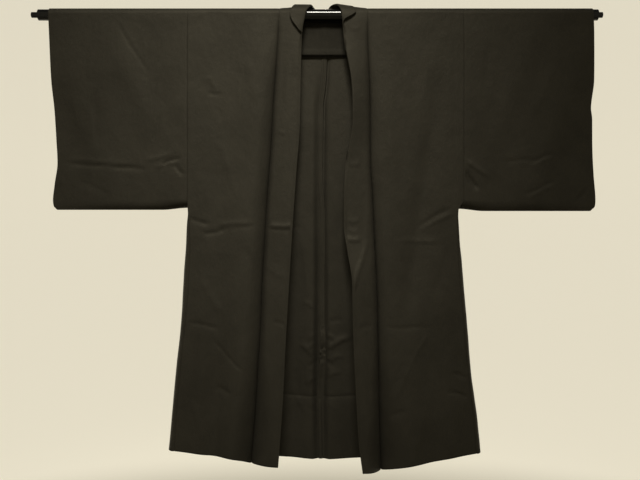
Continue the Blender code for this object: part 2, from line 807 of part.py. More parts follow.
def tie_loop(side, material):
    """Small flat loop that lies behind the collar, beside its seam."""
    sections = collar_sections()
    order = [level for level in reversed(LEVELS)]
    low = 1 + order.index(LOOP_DROP_LEVELS[1])
    high = 1 + order.index(LOOP_DROP_LEVELS[0])
    if side == "left":
        low, high = len(sections) - 1 - low, len(sections) - 1 - high
    corners = [sections[i][0][j] for i in (high, low) for j in (1, 2)]
    sheet = Sheet()
    normal = (corners[2] - corners[0]).cross(corners[1] - corners[0]).normalized()
    if normal.y > 0:
        normal = -normal
    rows = []
    for down in (LOOP_UP_DOWN[0], sum(LOOP_UP_DOWN) / 2, LOOP_UP_DOWN[1]):
        row = []
        for across in (LOOP_ACROSS[0], LOOP_ACROSS[1]):
            on_collar = corners[0].lerp(corners[2], down).lerp(
                corners[1].lerp(corners[3], down), across)
            row.append(sheet.add(on_collar - normal * (CLOTH + LOOP_GAP), normal))
        rows.append(row)
    sheet.grid(rows, flip=SIGN[side] > 0)
    return sheet.wall(f"tie_loop_{side}", material)


def hanging_rod(material):
    """Tube with a narrower stub at each end, turned from its profile along X."""
    right_tip = ROD_RIGHT_END - STUB_LENGTH["right"]
    left_tip = ROD_LEFT_END + STUB_LENGTH["left"]
    profile = [
        (right_tip, STUB_RADIUS - ROD_EDGE),
        (right_tip + ROD_EDGE, STUB_RADIUS),
        (ROD_RIGHT_END, STUB_RADIUS),
        (ROD_RIGHT_END, ROD_RADIUS - ROD_EDGE),
        (ROD_RIGHT_END + ROD_EDGE, ROD_RADIUS),
        (ROD_LEFT_END - ROD_EDGE, ROD_RADIUS),
        (ROD_LEFT_END, ROD_RADIUS - ROD_EDGE),
        (ROD_LEFT_END, STUB_RADIUS),
        (left_tip - ROD_EDGE, STUB_RADIUS),
        (left_tip, STUB_RADIUS - ROD_EDGE),
    ]
    mesh_maker = bmesh.new()
    rings = []
    for x, radius in profile:
        ring = []
        for step in range(ROD_SIDES):
            angle = 2 * math.pi * step / ROD_SIDES
            ring.append(mesh_maker.verts.new((x, radius * math.cos(angle),
                                              radius * math.sin(angle))))
        rings.append(ring)
    for low, high in zip(rings, rings[1:]):
        for step in range(ROD_SIDES):
            after = (step + 1) % ROD_SIDES
            mesh_maker.faces.new((low[step], low[after], high[after], high[step]))
    mesh_maker.faces.new(rings[0][::-1])
    mesh_maker.faces.new(rings[-1])
    bmesh.ops.recalc_face_normals(mesh_maker, faces=mesh_maker.faces)
    return add_object("hanging_rod", mesh_maker, material)


def main():
    for leftover in list(bpy.data.objects):
        bpy.data.objects.remove(leftover)
    cloth = make_material("haori_cloth", BLACK_OLIVE, 0.85)
    shaded = make_material("haori_cloth_inside", SHADED_OLIVE, 0.88)
    paint = make_material("rod_paint", GLOSS_BLACK, 0.25)
    hanging_rod(paint)
    for side in SIGN:
        body_panel(side, cloth)
        sleeve(side, cloth)
        gore(side, cloth)
        tie_loop(side, shaded)
    collar(cloth)
    shoulder_patch(shaded)


main()
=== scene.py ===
"""Haori jacket hung on a black rod that goes through both sleeves: cloth, seams, creases, paint.

Metres, but millimetres in the tables. +Z is up, the front faces -Y and +X is on the viewer's
right. Pieces are named for the wearer, whose right side is at -X. A "drop" is measured down from
the rod's axis, an "out" is measured sideways from the middle, and "lift" is a height off a panel's
middle surface, outwards.
"""

import math

import bmesh
import bpy
import numpy as np
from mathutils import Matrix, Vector, noise


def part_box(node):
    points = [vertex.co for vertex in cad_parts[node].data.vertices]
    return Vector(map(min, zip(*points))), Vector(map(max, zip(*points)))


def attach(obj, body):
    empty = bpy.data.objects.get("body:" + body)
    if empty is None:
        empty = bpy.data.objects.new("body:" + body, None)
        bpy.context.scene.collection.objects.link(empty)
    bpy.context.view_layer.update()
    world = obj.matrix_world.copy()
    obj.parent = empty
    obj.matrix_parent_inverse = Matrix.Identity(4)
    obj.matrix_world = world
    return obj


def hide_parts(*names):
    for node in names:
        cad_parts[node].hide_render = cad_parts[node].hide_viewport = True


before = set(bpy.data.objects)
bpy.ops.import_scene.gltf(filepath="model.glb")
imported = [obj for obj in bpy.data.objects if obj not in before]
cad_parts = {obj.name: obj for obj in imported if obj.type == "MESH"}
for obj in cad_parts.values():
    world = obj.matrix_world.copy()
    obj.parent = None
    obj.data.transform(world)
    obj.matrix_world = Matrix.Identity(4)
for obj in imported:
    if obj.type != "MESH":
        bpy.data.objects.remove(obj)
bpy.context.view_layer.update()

SIGN = {"right": -1, "left": 1}

# ---------------------------------------------------------------- sizes shared with the solids

ROD_RADIUS = 0.0135
ROD_END = {"right": -0.699, "left": 0.665}
STUB_RADIUS = 0.007
STUB_LENGTH = {"right": 0.017, "left": 0.012}
RIM = 0.0010              # rounding of the rod's edges
ROD_FACETS = 72
SHARP_CORNER = math.radians(40)
RIDE_RADIUS = 0.0151      # middle of the cloth where it rides on the rod

SLEEVE_SEAM_END = 0.452   # the sleeve is sewn to the body down to here
GORE_TOP = 0.466
HANG_START = 0.51         # below this the hems' slopes stretch the levels
TURN_UP_TOP = 0.909       # upper edge of the turned-up hem
HEM = 1.057
CUFF_END = 0.255          # the cuff opening reaches from the shoulder to here
NECK_DROP = 0.018         # the back neckline at its middle
NECK_SQUEEZE = 0.05       # above this level the back's rows close up to the neckline
BACK_NECK_OUT = {"right": 0.107, "left": 0.103}
SIDE_HEM = {"right": 1.056, "left": 1.062}
FRONT_HEM = {"right": 1.076, "left": 1.101}
HEM_DIP = {"right": 0.014, "left": 0.003}    # the hem hangs lower close to the collar
COLLAR_HEM = {"right": 1.088, "left": 1.105}
BACK_HEM = 1.092
SLEEVE_BOTTOM_IN = {"right": 0.4700, "left": 0.4725}
SLEEVE_BOTTOM_OUT = {"right": 0.4750, "left": 0.4780}
FOLD_ARC = 0.0044         # length of the collar's rounded fold
NECK_RUN = 0.105          # nominal length of half the back neckline
RIDE_RUN = 0.045          # nominal length of the collar seam over the rod
PATCH_OUT = 0.205
PATCH_TOP = 0.0120
PATCH_FOOT = 0.0945

# ---------------------------------------------------------------- sizes of the cloth itself

CLOTH = 0.0009            # one layer
BAND = 0.0018             # the collar band, two layers pressed flat
TURN_UP = 0.0011          # second layer at a turned-up hem, on the inside
UNSEWN_GAP = 0.0010
THIN = 0.0008             # one layer of a strip that is pressed flat
STEP = 0.0042             # spacing of the cloth's grid
OVER_ROD_STEPS = 16
MARK_HALF = 0.0006        # grid lines lie this far on each side of a mark
MARK_CLEAR = 0.0016       # and no other one lies nearer than this
CUFF_GROOVE = 0.0012      # depth of the groove where a sleeve's two layers are sewn together
SEAM_HALF_GAP = 0.00015
ALLOWANCE_SIDE = 0.0195   # width of the sleeve seam's allowance
SIDE_MARKS = {"right": (), "left": (ALLOWANCE_SIDE,)}
CUFF_TURN = 0.016         # width of the hem at the cuff opening
CUFF_LAYER = 0.0007       # and its second layer
CREASE_DEPTH = 0.42       # share of all the creases' stated heights
CREASE_WIDTH = 0.70       # and of their stated widths
WANDER = 0.0012           # how far a crease strays from a straight line
SAG = 0.42                # how much steeper a crease is on the side that sags
STITCH_GROOVE = 0.0010    # depth of the groove along the turned-up hem, behind
TURN_UP_EASE = 0.020      # behind, the turned-up hem's layer grows over this height
GORE_ARC = 0.052          # width of a gore's cloth from seam to seam
GORE_STEP = 0.0034
PATCH_HEM = 0.83          # share of the patch's height where its own hem begins
PATCH_LAYER = 0.0010      # and the hem's second layer
LOOP_WIDTH = 0.0052
LOOP_BEND = 0.0011        # radius at a loop's foot
LOOP_BEHIND = 0.0090      # the loops hang behind the collar's seam
COLLAR_BENDS = 6          # grid steps round the collar's fold
COLLAR_TURNED = 9         # grid steps over the part turned outside
COLLAR_STEPS = 17         # grid steps over the flat of the band

# ---------------------------------------------------------------- finishes

CLOTH_DARK = (0.0208, 0.0191, 0.0150, 1)
CLOTH_LIGHT = (0.0322, 0.0294, 0.0228, 1)
# Painted shade: darker colours and less gloss and sheen for a copy of the cloth, used on the
# shoulder patch and the tie loops; it paints the shade under the rod and the shoulders.
PAINTED_SHADE_DARK = (0.0124, 0.0115, 0.0092, 1)
PAINTED_SHADE_LIGHT = (0.0192, 0.0176, 0.0138, 1)
PAINTED_SHADE_SHINE = 0.42       # of the outside's gloss and sheen
CLOTH_GLOSS = 0.17
SHEEN = 0.02
SHEEN_TINT = (1.0, 0.93, 0.74, 1)
GLOSS_TINT = (1.0, 0.92, 0.70, 1)
WEAVE_PITCH = 0.00042

# ---------------------------------------------------------------- tables, in millimetres

RIDE = RIDE_RADIUS * 1000


def roll(*rows):
    """How the cloth turns in beside a seam: distance from the seam and depth there. A distance
    under nought is an allowance that lies under the neighbouring piece."""
    return np.array(rows) / 1000


SEAM_ROLL = roll((0.4, 0.7), (1, 0.2), (2.4, 0))
SEAM_TONGUE = roll((-8, 2.1), (-3.2, 2), (0.4, 0.9), (1, 0.3), (2.4, 0))
COLLAR_TONGUE = roll((-9, 6.8), (-4, 6.6), (0.2, 5.2), (0.9, 3.6), (2, 2.2), (3.6, 1.1),
                     (5.8, 0.4), (9, 0))
COLLAR_ROLL = roll((0.6, 3.4), (1.2, 2.5), (2.4, 1.4), (4.4, 0.6), (7.6, 0.2), (12, 0))
NO_ROLL = roll((0, 0))


class Table:
    """Rows of named columns, read in metres along the first one by a cubic that never overshoots.
    An angle is in degrees."""

    def __init__(self, names, *rows):
        self.names = names.split()
        self.rows = np.array(rows, float) / [1 if name == "angle" else 1000 for name in self.names]

    def read(self, name, key):
        keys, values = self.rows[:, 0], self.rows[:, self.names.index(name)]
        spans = np.diff(keys)
        secants = np.diff(values) / spans
        before, after = secants[:-1], secants[1:]
        turning = before * after <= 0
        total = np.where(turning, 1.0, before + after)
        inner = np.where(turning, 0.0, 2 * before * after / total)
        slopes = np.concatenate((secants[:1], inner, secants[-1:]))
        key = np.clip(key, keys[0], keys[-1])
        at = np.clip(np.searchsorted(keys, key, side="right") - 1, 0, len(spans) - 1)
        span = spans[at]
        t = (key - keys[at]) / span
        return (values[at] * (1 + 2 * t) * (1 - t) ** 2 + slopes[at] * span * t * (1 - t) ** 2
                + values[at + 1] * t * t * (3 - 2 * t) - slopes[at + 1] * span * t * t * (1 - t))


# How far the two layers hang from the rod's middle plane, at the side seams.
HANG = Table(
    "drop front back",
    (0, -RIDE, RIDE),
    (100, -15.8, 15.6),
    (300, -17, 16.5),
    (452, -18, 17.5),
    (700, -22.5, 21.5),
    (900, -26.5, 25),
    (1100, -30, 28),
)

# Each front: outs of its side seam and its collar seam, the depth of the collar seam,
# and how far the cloth beside that seam rounds forward.
FRONT = dict(right=Table(
    "drop side seam seam_y ridge",
    (0, 333, 112, -RIDE, 0),
    (50, 333, 113.5, -15, 2),
    (110, 333, 117.2, -14, 5),
    (210, 333, 124.7, -12.5, 7),
    (330, 333, 131.7, -12, 8),
    (452, 333, 140.8, -12.5, 8),
    (510, 328.5, 144.3, -13.5, 8),
    (560, 326.8, 147, -15, 8),
    (660, 330, 152.5, -19, 8),
    (760, 338.5, 156, -23, 8),
    (860, 348, 162.5, -28, 8),
    (960, 356.5, 168, -33, 7),
    (1080, 364, 178, -41, 6),
), left=Table(
    "drop side seam seam_y ridge",
    (0, 336, 104, -RIDE, 0),
    (50, 336, 103.2, -15.5, 1),
    (110, 336, 105.2, -15.5, 2),
    (210, 336, 108.8, -15, 4),
    (360, 336, 110.2, -15, 4),
    (452, 336, 115.6, -16, 5),
    (476, 322.5, 116.5, -16.5, 5),
    (510, 320.5, 118, -17.5, 5),
    (600, 322.5, 122.2, -21, 5),
    (710, 331, 126.2, -26, 5),
    (840, 341.5, 128.5, -32, 5),
    (980, 356.5, 131.2, -39, 5),
    (1110, 367.5, 134.5, -46, 5),
))

# Out of the gore's own fold, the widest line of the body.
GORE_EDGE = dict(right=Table(
    "drop out",
    (466, 331.5),
    (475.5, 330),
    (510, 335),
    (560, 337.8),
    (625, 343.1),
    (756, 350.6),
    (861, 361.6),
    (986, 372.6),
    (1060, 379.4),
), left=Table(
    "drop out",
    (466, 325),
    (475.5, 321),
    (510, 323.8),
    (560, 327.2),
    (600, 332),
    (703, 341.1),
    (756, 345.5),
    (861, 353.8),
    (978, 369.2),
    (1062, 377.2),
))

# Out of the sleeve's cuff edge.
CUFF_EDGE = dict(right=Table(
    "drop out",
    (0, 670),
    (50, 668.2),
    (158, 664.4),
    (227, 658.2),
    (300, 654.5),
    (360, 651.6),
    (415, 659),
    (452, 662.8),
    (466, 661.2),
    (480, 647.5),
), left=Table(
    "drop out",
    (0, 650),
    (50, 651.8),
    (158, 653),
    (227, 646.6),
    (255, 650.3),
    (336, 651.5),
    (389, 654.1),
    (452, 658.8),
    (466, 657.8),
    (480, 645),
))

# Half the distance between a sleeve's two layers, in its middle and at its cuff edge.
SLEEVE_GAP = Table(
    "drop middle cuff",
    (0, RIDE, RIDE),
    (50, 15, 14),
    (100, 14.8, 12.5),
    (200, 13.8, 8),
    (255, 12.8, 4),
    (310, 12.2, 2.2),
    (410, 11.8, 2.2),
    (452, 10.5, 2.2),
    (466, 7.2, 2.2),
    (480, 0, 0),
)

# The collar's folded or free edge, the bow of the band between seam and edge, and the part that
# is turned over to the outside: its width and how far round it is turned, in degrees.
# "along" runs from the middle of the back neck over the rod and down the front.
COLLAR_EDGE = dict(right=Table(
    "along out y z bow turned angle",
    (0, 0, 28.5, 12.5, 0, 33, 178),
    (40, 8, 27.2, 12.2, 0, 32, 178),
    (80, 19, 22.2, 15, 0, 29, 176),
    (105, 27, 12.5, 20.5, 0, 31, 176),
    (127.5, 32.5, 1, 22.2, 0, 36, 175),
    (150, 45, -16.5, 6, 1, 38, 172),
    (168, 50, -19, -15, 1, 30, 168),
    (190, 54.5, -20.8, -40, 1, 10, 150),
    (203, 55.2, -21.2, -53, 1, 4, 60),
    (250, 57.5, -22.5, -100, 1, 4, 8),
    (360, 59.8, -23.5, -210, 1, 4, 4),
    (410, 60.5, -24, -260, 1, 4, 4),
    (530, 69, -25.5, -380, 1, 4, 4),
    (650, 77.3, -28.5, -500, 1, 4, 4),
    (840, 88.5, -34.5, -690, 1, 4, 4),
    (950, 94.6, -38.5, -800, 1, 4, 4),
    (1070, 100.1, -44.5, -920, 1, 4, 4),
    (1174, 106.9, -50, -1024, 1, 4, 4),
    (1240, 112, -54.5, -1089, 1, 4, 4),
), left=Table(
    "along out y z bow turned angle",
    (0, 0, 28.5, 12.5, 0, 33, 178),
    (40, 6, 27.5, 17, 0, 32, 178),
    (80, 12.5, 22.5, 26.5, 0, 29, 180),
    (105, 19, 13, 28.5, 0, 30, 182),
    (127.5, 28.5, 1, 24.5, 0, 34, 182),
    (150, 39, -16.5, 6, 1, 34, 174),
    (160, 40.5, -19.5, -6, 1, 22, 164),
    (171, 41.8, -21.5, -19, 1, 5, 120),
    (188, 43, -22.2, -38, 1, 3, 30),
    (218, 46.5, -24.5, -68, 1, 4, -30),
    (255, 53.5, -27.8, -105, 1, 10, -130),
    (310, 63.5, -31, -160, 1, 18, -170),
    (365, 67, -32, -215, 1, 21, -172),
    (420, 66.5, -30, -270, 1, 18, -168),
    (470, 58, -27, -320, 1, 9, -120),
    (530, 48.5, -26, -380, 1, 4, -20),
    (600, 45.5, -25.5, -450, 1, 4, 4),
    (665, 45.5, -27, -515, 1, 4, 4),
    (725, 53.5, -33, -575, 1, 4, 4),
    (800, 64.5, -44, -650, 1, 4, 4),
    (880, 65.8, -48, -730, 1, 4, 4),
    (990, 69.5, -54, -840, 1, 4, 4),
    (1085, 74.2, -61, -935, 1, 4, 4),
    (1180, 79, -71, -1025, 1, 4, 4),
    (1260, 88.5, -80, -1100, 1, 4, 4),
))

# The centre-back seam: how far it sways from the middle, and how deep the valley along it is.
MIDDLE_SEAM = Table(
    "drop sway valley",
    (90, 5.2, 0.6),
    (150, 3, 2.2),
    (180, 0.2, 3.4),
    (220, -4.6, 5.8),
    (400, -6.4, 8.2),
    (480, -6.8, 10.5),
    (560, -6, 13),
    (760, -6, 16),
    (950, -8, 15.5),
    (1100, -6, 11.5),
)
SEAM_PINCH = roll((0, 0), (1, 4), (2.4, 4.6), (6.6, 0))
MIDDLE_VALLEY = {"right": (0.009, 0.026), "left": (0.001, 0.017)}
COLLAR_VALLEY = dict(right=Table(
    "drop depth body band",
    (0, 0.5, 10, 5),
    (100, 2, 16, 8),
    (300, 6, 34, 10),
    (600, 9, 44, 12),
    (800, 13, 46, 18),
    (920, 18.5, 50, 40),
    (1100, 30, 72, 64),
), left=Table(
    "drop depth body band",
    (0, 0.3, 6, 5),
    (150, 3, 16, 10),
    (350, 4.5, 24, 10),
    (600, 6, 24, 12),
    (800, 8.5, 26, 16),
    (930, 16, 42, 28),
    (1110, 29, 84, 50),
))

# The centre-back allowance, pressed open to one side: its two edges and how far it stands in.
BACK_STRIP = Table(
    "drop right left in",
    (98, -7, 4.8, 1.6),
    (150, -9.5, 2.8, 1.8),
    (180, -12.2, 0, 2),
    (220, -16, -4.6, 2.2),
    (400, -16, -6, 2.4),
    (455, -12.5, -2, 2.8),
    (500, -10.4, 0.2, 2.6),
    (527, -11.4, 0.6, 2.6),
    (620, -10.2, 0.8, 2.6),
    (680, -9.8, 4.2, 2.8),
    (760, -10.4, 5.6, 4),
    (790, -11.8, 4.6, 6),
    (815, -10.4, 3.6, 5),
    (848, -12.8, 4.4, 6.2),
    (890, -16, 4.8, 4.6),
    (945, -19, 5.2, 2.6),
    (1086, -16, 5.6, 2.2),
)

# Large soft folds of the layers: a ridge stands away from the garment, a trough (negative
# height) dips into it. Each runs from its top to its foot and fades out at both.
FRONT_FOLDS = dict(right=[
    # top out and drop, foot out and drop, half width, height
    (215, 300, 235, 1350, 30, 5),
    (290, 480, 305, 1400, 26, 4),
    (258, 560, 270, 1450, 22, -4),
], left=[
    (290, 80, 178, 860, 24, -6),
    (210, 600, 225, 1450, 34, 5),
    (290, 560, 305, 1400, 28, 4),
])
BACK_FOLDS = dict(right=[
    (265, 100, 250, 1300, 35, 6),
    (165, 280, 175, 1450, 30, 7),
    (65, 480, 80, 1450, 26, 5),
], left=[
    (235, 140, 255, 1350, 40, 6),
    (135, 240, 145, 1400, 28, 6),
    (55, 520, 55, 1450, 24, 4),
])
SLEEVE_FOLDS = dict(right=[
    (520, 20, 405, 330, 35, 3),
    (640, 80, 520, 470, 35, 3),
], left=[
    (500, 40, 400, 360, 32, 3),
    (610, 120, 480, 500, 38, 3),
])

# Creases: from one end to the other, with the half width, the height (negative for a trough) and
# how sharp the line is, from 0 for a soft one to 1 for a pressed one.
FRONT_CREASES = dict(right=[
    # start out and drop, end out and drop, half width, height, sharpness
    (345, 494, 272, 510, 6, -5, 0.3),
    (268, 514, 165, 507, 5.5, 3.8, 0.5),
    (300, 534, 228, 521, 6, -5, 0.3),
    (230, 519, 160, 513, 5, -2.2, 0.4),
    (335, 745, 245, 762, 5.5, -4.2, 0.4),
    (281, 780, 181, 878, 4.2, -4, 0.6),
    (266, 899, 222, 916, 8, -4, 0),
    (300, 640, 245, 742, 13, 3, 0),
    (200, 560, 150, 640, 11, -2.4, 0),
    (320, 930, 290, 1040, 12, 3, 0),
    (284, 195, 248, 193, 5, -3.2, 0.2),
    (285, 150, 265, 182, 7.5, 2.4, 0),
    (257, 228, 253, 262, 5, -2.8, 0.1),
    (190, 100, 160, 230, 15, 1.8, 0),
    (262, 300, 220, 420, 14, 2.2, 0),
], left=[
    (215, 520, 310, 466, 6.5, -4, 0.2),
    (230, 527, 315, 480, 6, 3, 0.1),
    (170, 554, 282, 551.5, 5, 3.4, 0.5),
    (134, 757.5, 272, 759, 4.5, -3.2, 0.6),
    (248, 770, 203, 858, 5, 3.8, 0.4),
    (209, 846, 166, 934, 5, 3.8, 0.4),
    (192, 830, 160, 910, 6, -1.8, 0),
    (300, 866, 358, 884, 5.5, -4.2, 0.2),
    (290, 909, 354, 929, 5.5, -4.2, 0.2),
    (192, 955, 150, 972, 7, -3.2, 0),
    (150, 260, 172, 420, 14, 2.2, 0),
    (300, 560, 262, 700, 13, -2.4, 0),
    (240, 940, 222, 1060, 13, 3, 0),
    (150, 60, 205, 160, 13, -1.4, 0),
])
BACK_CREASES = dict(right=[
    (60, 806, 22, 838, 7.5, -5, 0.2),
    (18, 775, 34, 800, 4.5, -5.5, 0.3),
    (42, 820, 16, 801, 4.5, -5, 0.3),
    (40, 862, 14, 846, 5, 5, 0.2),
    (46, 905, 16, 888, 5.5, -4.5, 0.2),
    (52, 700, 18, 722, 6, -3.2, 0.1),
    (62, 520, 34, 700, 11, -3, 0),
    (335, 512, 180, 520, 5.5, -2.4, 0.5),
    (180, 520, 30, 515, 6, 1.6, 0.4),
    (320, 755, 190, 762, 5.5, -1.8, 0.4),
    (290, 800, 200, 880, 6, 2, 0.1),
    (240, 330, 130, 420, 11, 1.8, 0),
    (90, 900, 40, 990, 8, -2.2, 0),
    (330, 600, 270, 700, 9, -2, 0),
    (200, 130, 120, 230, 13, -1.4, 0),
], left=[
    (6, 819, 66, 786, 8, -8.5, 0.3),
    (10, 850, 50, 832, 8, -3.5, 0.1),
    (8, 781, 30, 797, 4.5, -5.5, 0.3),
    (10, 842, 26, 866, 4.5, 5.5, 0.3),
    (12, 886, 44, 874, 5.5, -4.5, 0.2),
    (46, 742, 12, 752, 5.5, 3.4, 0.1),
    (46, 330, 30, 520, 10, -2, 0),
    (325, 509, 210, 522, 5.5, -2.4, 0.5),
    (210, 522, 60, 514, 5.5, 1.8, 0.4),
    (320, 748, 160, 764, 6, -1.8, 0.3),
    (310, 860, 230, 930, 6, 2.2, 0.2),
    (270, 300, 160, 450, 12, 1.6, 0),
    (120, 600, 60, 700, 9, -2, 0),
    (230, 960, 180, 1040, 10, 2.2, 0),
])
SLEEVE_CREASES = dict(right=[
    (640, 361, 512, 370.5, 4.8, -4.6, 0.5),
    (530, 369.5, 424, 377.5, 4.8, -4, 0.5),
    (636, 352, 440, 367, 5.5, 2.4, 0.1),
    (440, 358, 362, 340, 4.8, 3.6, 0.3),
    (402, 368, 346, 346, 4.8, -8, 0.5),
    (412, 376, 352, 356, 4.8, 4, 0.2),
    (366, 362, 340, 396, 6, -5, 0.2),
    (398, 240, 418, 318, 6, -3, 0.1),
    (510, 10, 424, 152, 5.5, -2.4, 0.3),
    (600, 400, 520, 440, 9, -2.4, 0),
    (560, 200, 548, 330, 12, -2, 0),
    (620, 180, 590, 300, 12, 1.8, 0),
], left=[
    (336, 376, 372, 432, 9, -11, 0.1),
    (338, 355, 402, 402, 6.6, 6.4, 0.2),
    (492, 363, 556, 337, 4.8, -4.6, 0.4),
    (496, 371, 562, 345, 5.5, 3, 0.1),
    (428, 357, 520, 352, 5, -3, 0.3),
    (478, 441, 564, 402, 4.8, -4.6, 0.4),
    (486, 450, 566, 412, 6, 2.6, 0),
    (604, 462, 644, 418, 6, -4.6, 0.2),
    (560, 120, 500, 260, 14, 2, 0),
    (400, 60, 385, 200, 12, -1.6, 0),
])
SLEEVE_BACK_CREASES = dict(right=[
    (630, 364, 480, 372, 5, -2, 0.5),
    (440, 374, 350, 352, 6, 2.2, 0.1),
    (380, 420, 345, 380, 7, -2.6, 0),
    (560, 60, 470, 200, 12, 1.6, 0),
], left=[
    (640, 368, 520, 362, 5, -2, 0.5),
    (480, 360, 360, 384, 5.5, -2.2, 0.3),
    (350, 400, 410, 440, 7, 2.4, 0),
    (600, 90, 520, 240, 12, -1.4, 0),
])
COLLAR_CREASES = dict(right=[
    (150, 513.5, 100, 517.8, 5.2, 7.8, 0.6),
    (112, 516.8, 62, 519.6, 5.2, 7.8, 0.6),
    (146, 520, 72, 526, 4, -2, 0),
    (140, 620, 90, 640, 11, 2.4, 0),
    (113, 284, 97, 297, 5, 2.4, 0.1),
    (130, 744, 86, 752, 5, -3.2, 0.4),
    (110, 860, 120, 960, 8, -2.4, 0),
    (88, 110, 96, 240, 8, 1.8, 0),
], left=[
    (54, 504.5, 86, 504, 6.2, 2.8, 0.1),
    (54, 528, 84, 531, 6.8, 2.4, 0.1),
    (50, 550, 88, 550, 6.2, 6.2, 0.3),
    (104, 430, 101, 590, 8, 3.4, 0.1),
    (103, 545, 60, 692, 8, 5, 0.1),
    (88, 366, 54, 370, 6, 2.2, 0),
    (90, 30, 62, 46, 6, 2.4, 0.2),
    (118, 750, 78, 760, 5, -3, 0.4),
    (100, 880, 112, 990, 8, -2.4, 0),
])


# ---------------------------------------------------------------- small maths

def mix(low, high, share):
    return low + (high - low) * share


def ease(share):
    """0 to 1 with level ends."""
    share = np.clip(share, 0.0, 1.0)
    return share * share * (3 - 2 * share)


def folds_height(folds, out, drop):
    """Sum of the large folds' heights on a layer."""
    total = np.zeros(np.broadcast(out, drop).shape)
    for top_out, top_drop, foot_out, foot_drop, half_width, height in np.array(folds) / 1000:
        share = (drop - top_drop) / (foot_drop - top_drop)
        aside = (out - mix(top_out, foot_out, share)) / half_width
        swell = np.sin(math.pi * np.clip(share, 0.0, 1.0))
        total += height * swell * np.exp(-aside * aside)
    return total


def away_from_edges(across):
    """0 on a panel's two sewn edges and 1 between them."""
    return ease(np.minimum(across, 1 - across) / 0.25)


def creases_height(creases, out, drop, lean=SAG):
    """Sum of the creases' heights on a layer, each fading out towards its ends. The cloth sags
    over a crease: lean makes ridges steeper below and troughs steeper above, or the reverse
    where it is negative, on a layer that sags inwards."""
    total = np.zeros(np.broadcast(out, drop).shape)
    for *lengths, sharp in creases:
        start_out, start_drop, end_out, end_drop, half_width, height = np.array(lengths) / 1000
        run_out, run_drop = end_out - start_out, end_drop - start_drop
        length = math.hypot(run_out, run_drop)
        along = ((out - start_out) * run_out + (drop - start_drop) * run_drop) / length ** 2
        aside = ((out - start_out) * run_drop - (drop - start_drop) * run_out) / length
        aside = aside + WANDER * np.sin(along * 7.0 + start_out * 90)
        steeper = 1 - lean * (run_out / length) * np.sign(height * aside)
        off = np.abs(aside) * steeper / (CREASE_WIDTH * half_width)
        fade = ease(along / 0.25) * ease((1 - along) / 0.30)
        total += CREASE_DEPTH * height * fade * np.exp(-off ** mix(2.0, 1.0, sharp))
    return total


def unevenness(points, seed):
    """Soft rises and dips of hanging cloth, 3 to 12 cm across and longer than they are wide."""
    def rise(x, y, z):
        wide = noise.noise(Vector((x * 13, y * 10, z * 6 + seed)))
        small = noise.noise(Vector((x * 38, y * 25, z * 27 - seed)))
        return 0.0011 * wide + 0.00035 * small

    flat = points.reshape(-1, 3).tolist()
    return np.array([rise(x, y, z) for x, y, z in flat]).reshape(points.shape[:-1])


def roll_depth(distance, rolled):
    """How deep the cloth turns in beside a seam."""
    return np.interp(distance, *rolled.T)


def below_rod(drop, start=0.004, reach=0.03):
    """0 where the cloth rides on the rod and 1 below it."""
    return ease((drop - start) / reach)


def clear_of_rod(drop):
    """Less turning in where the cloth rides on the rod."""
    return mix(0.22, 1.0, below_rod(drop))


def collar_groove(drop):
    """The groove along the collar's seam deepens from the shoulder to the hem."""
    low = clear_of_rod(drop) * mix(0.8, 1.6, np.clip(drop, 0.0, 1.0))
    return low * mix(0.4, 1.0, ease(drop / 0.20))


def sleeve_seam_roll(drop):
    """The sleeve's seam lies flatter near the shoulder, where the cloth is pulled smooth."""
    return clear_of_rod(drop) * mix(0.35, 1.0, ease((drop - 0.12) / 0.24))


def allowance_reach(drop):
    """Share of an allowance's width: almost none over the rod."""
    return mix(0.14, 1.0, below_rod(drop, 0.015))


def spread(width, start, end, marks=(), step=STEP):
    """Places across a width in metres: at a rolled edge's places, close together on each side of
    a mark, and evenly between."""
    near, far = start[:, 0], width - end[::-1, 0]
    low, high = near[-1], far[0]
    middle = np.linspace(low, high, max(2, round((high - low) / step) + 1))
    for mark in marks:
        middle = middle[np.abs(middle - mark) > MARK_CLEAR]
        middle = np.append(middle, (mark - MARK_HALF, mark + MARK_HALF))
    return np.sort(np.unique(np.concatenate((near, middle, far))))


def levels_between(first, last, marks=(), step=STEP):
    """Even levels from first to last, with the marks among them."""
    stops = [first, *[mark for mark in marks if first < mark < last], last]
    runs = [np.linspace(low, high, max(1, round((high - low) / step)) + 1)
            for low, high in zip(stops, stops[1:])]
    return np.unique(np.concatenate(runs))


LEVEL_MARKS = (0.0008, 0.0020, CUFF_END, SLEEVE_SEAM_END, GORE_TOP, TURN_UP_TOP - 0.0036,
               TURN_UP_TOP - 0.0020, TURN_UP_TOP - 0.0009, TURN_UP_TOP, TURN_UP_TOP + 0.0020)
LEVELS = levels_between(0.0, HEM, LEVEL_MARKS)
OVER_ROD = np.arange(1, OVER_ROD_STEPS)[:, None] / OVER_ROD_STEPS
OVER_ROD_ARC = RIDE_RADIUS * math.pi * (0.5 - np.abs(OVER_ROD - 0.5))


# ---------------------------------------------------------------- the garment's surfaces

def stack(x, y, z):
    return np.stack(np.broadcast_arrays(x, y, z), axis=-1).astype(float)


def out_and_drop(points):
    return np.abs(points[..., 0]), -points[..., 2]


def hung_drop(level, hem):
    """Drop of a level: the lower part is stretched down to the hem's slope."""
    return level + (hem - HEM) * ease((level - HANG_START) / (HEM - HANG_START))


def front_points(side, across, level):
    """Middle of the front layer. A level is a drop before the hem's slope."""
    front = FRONT[side]
    hem = mix(SIDE_HEM[side], FRONT_HEM[side], across) + HEM_DIP[side] * across ** 8
    drop = hung_drop(level, hem)
    out = mix(front.read("side", drop), front.read("seam", drop), across)
    y = mix(HANG.read("front", drop), front.read("seam_y", drop), across ** 1.5)
    share = np.maximum(0.0, (across - 0.45) / 0.55)
    y = y - front.read("ridge", drop) * np.sin(math.pi * share ** 1.8)
    y = y - folds_height(FRONT_FOLDS[side], out, drop) * away_from_edges(across)
    return stack(SIGN[side] * out, y, -drop)


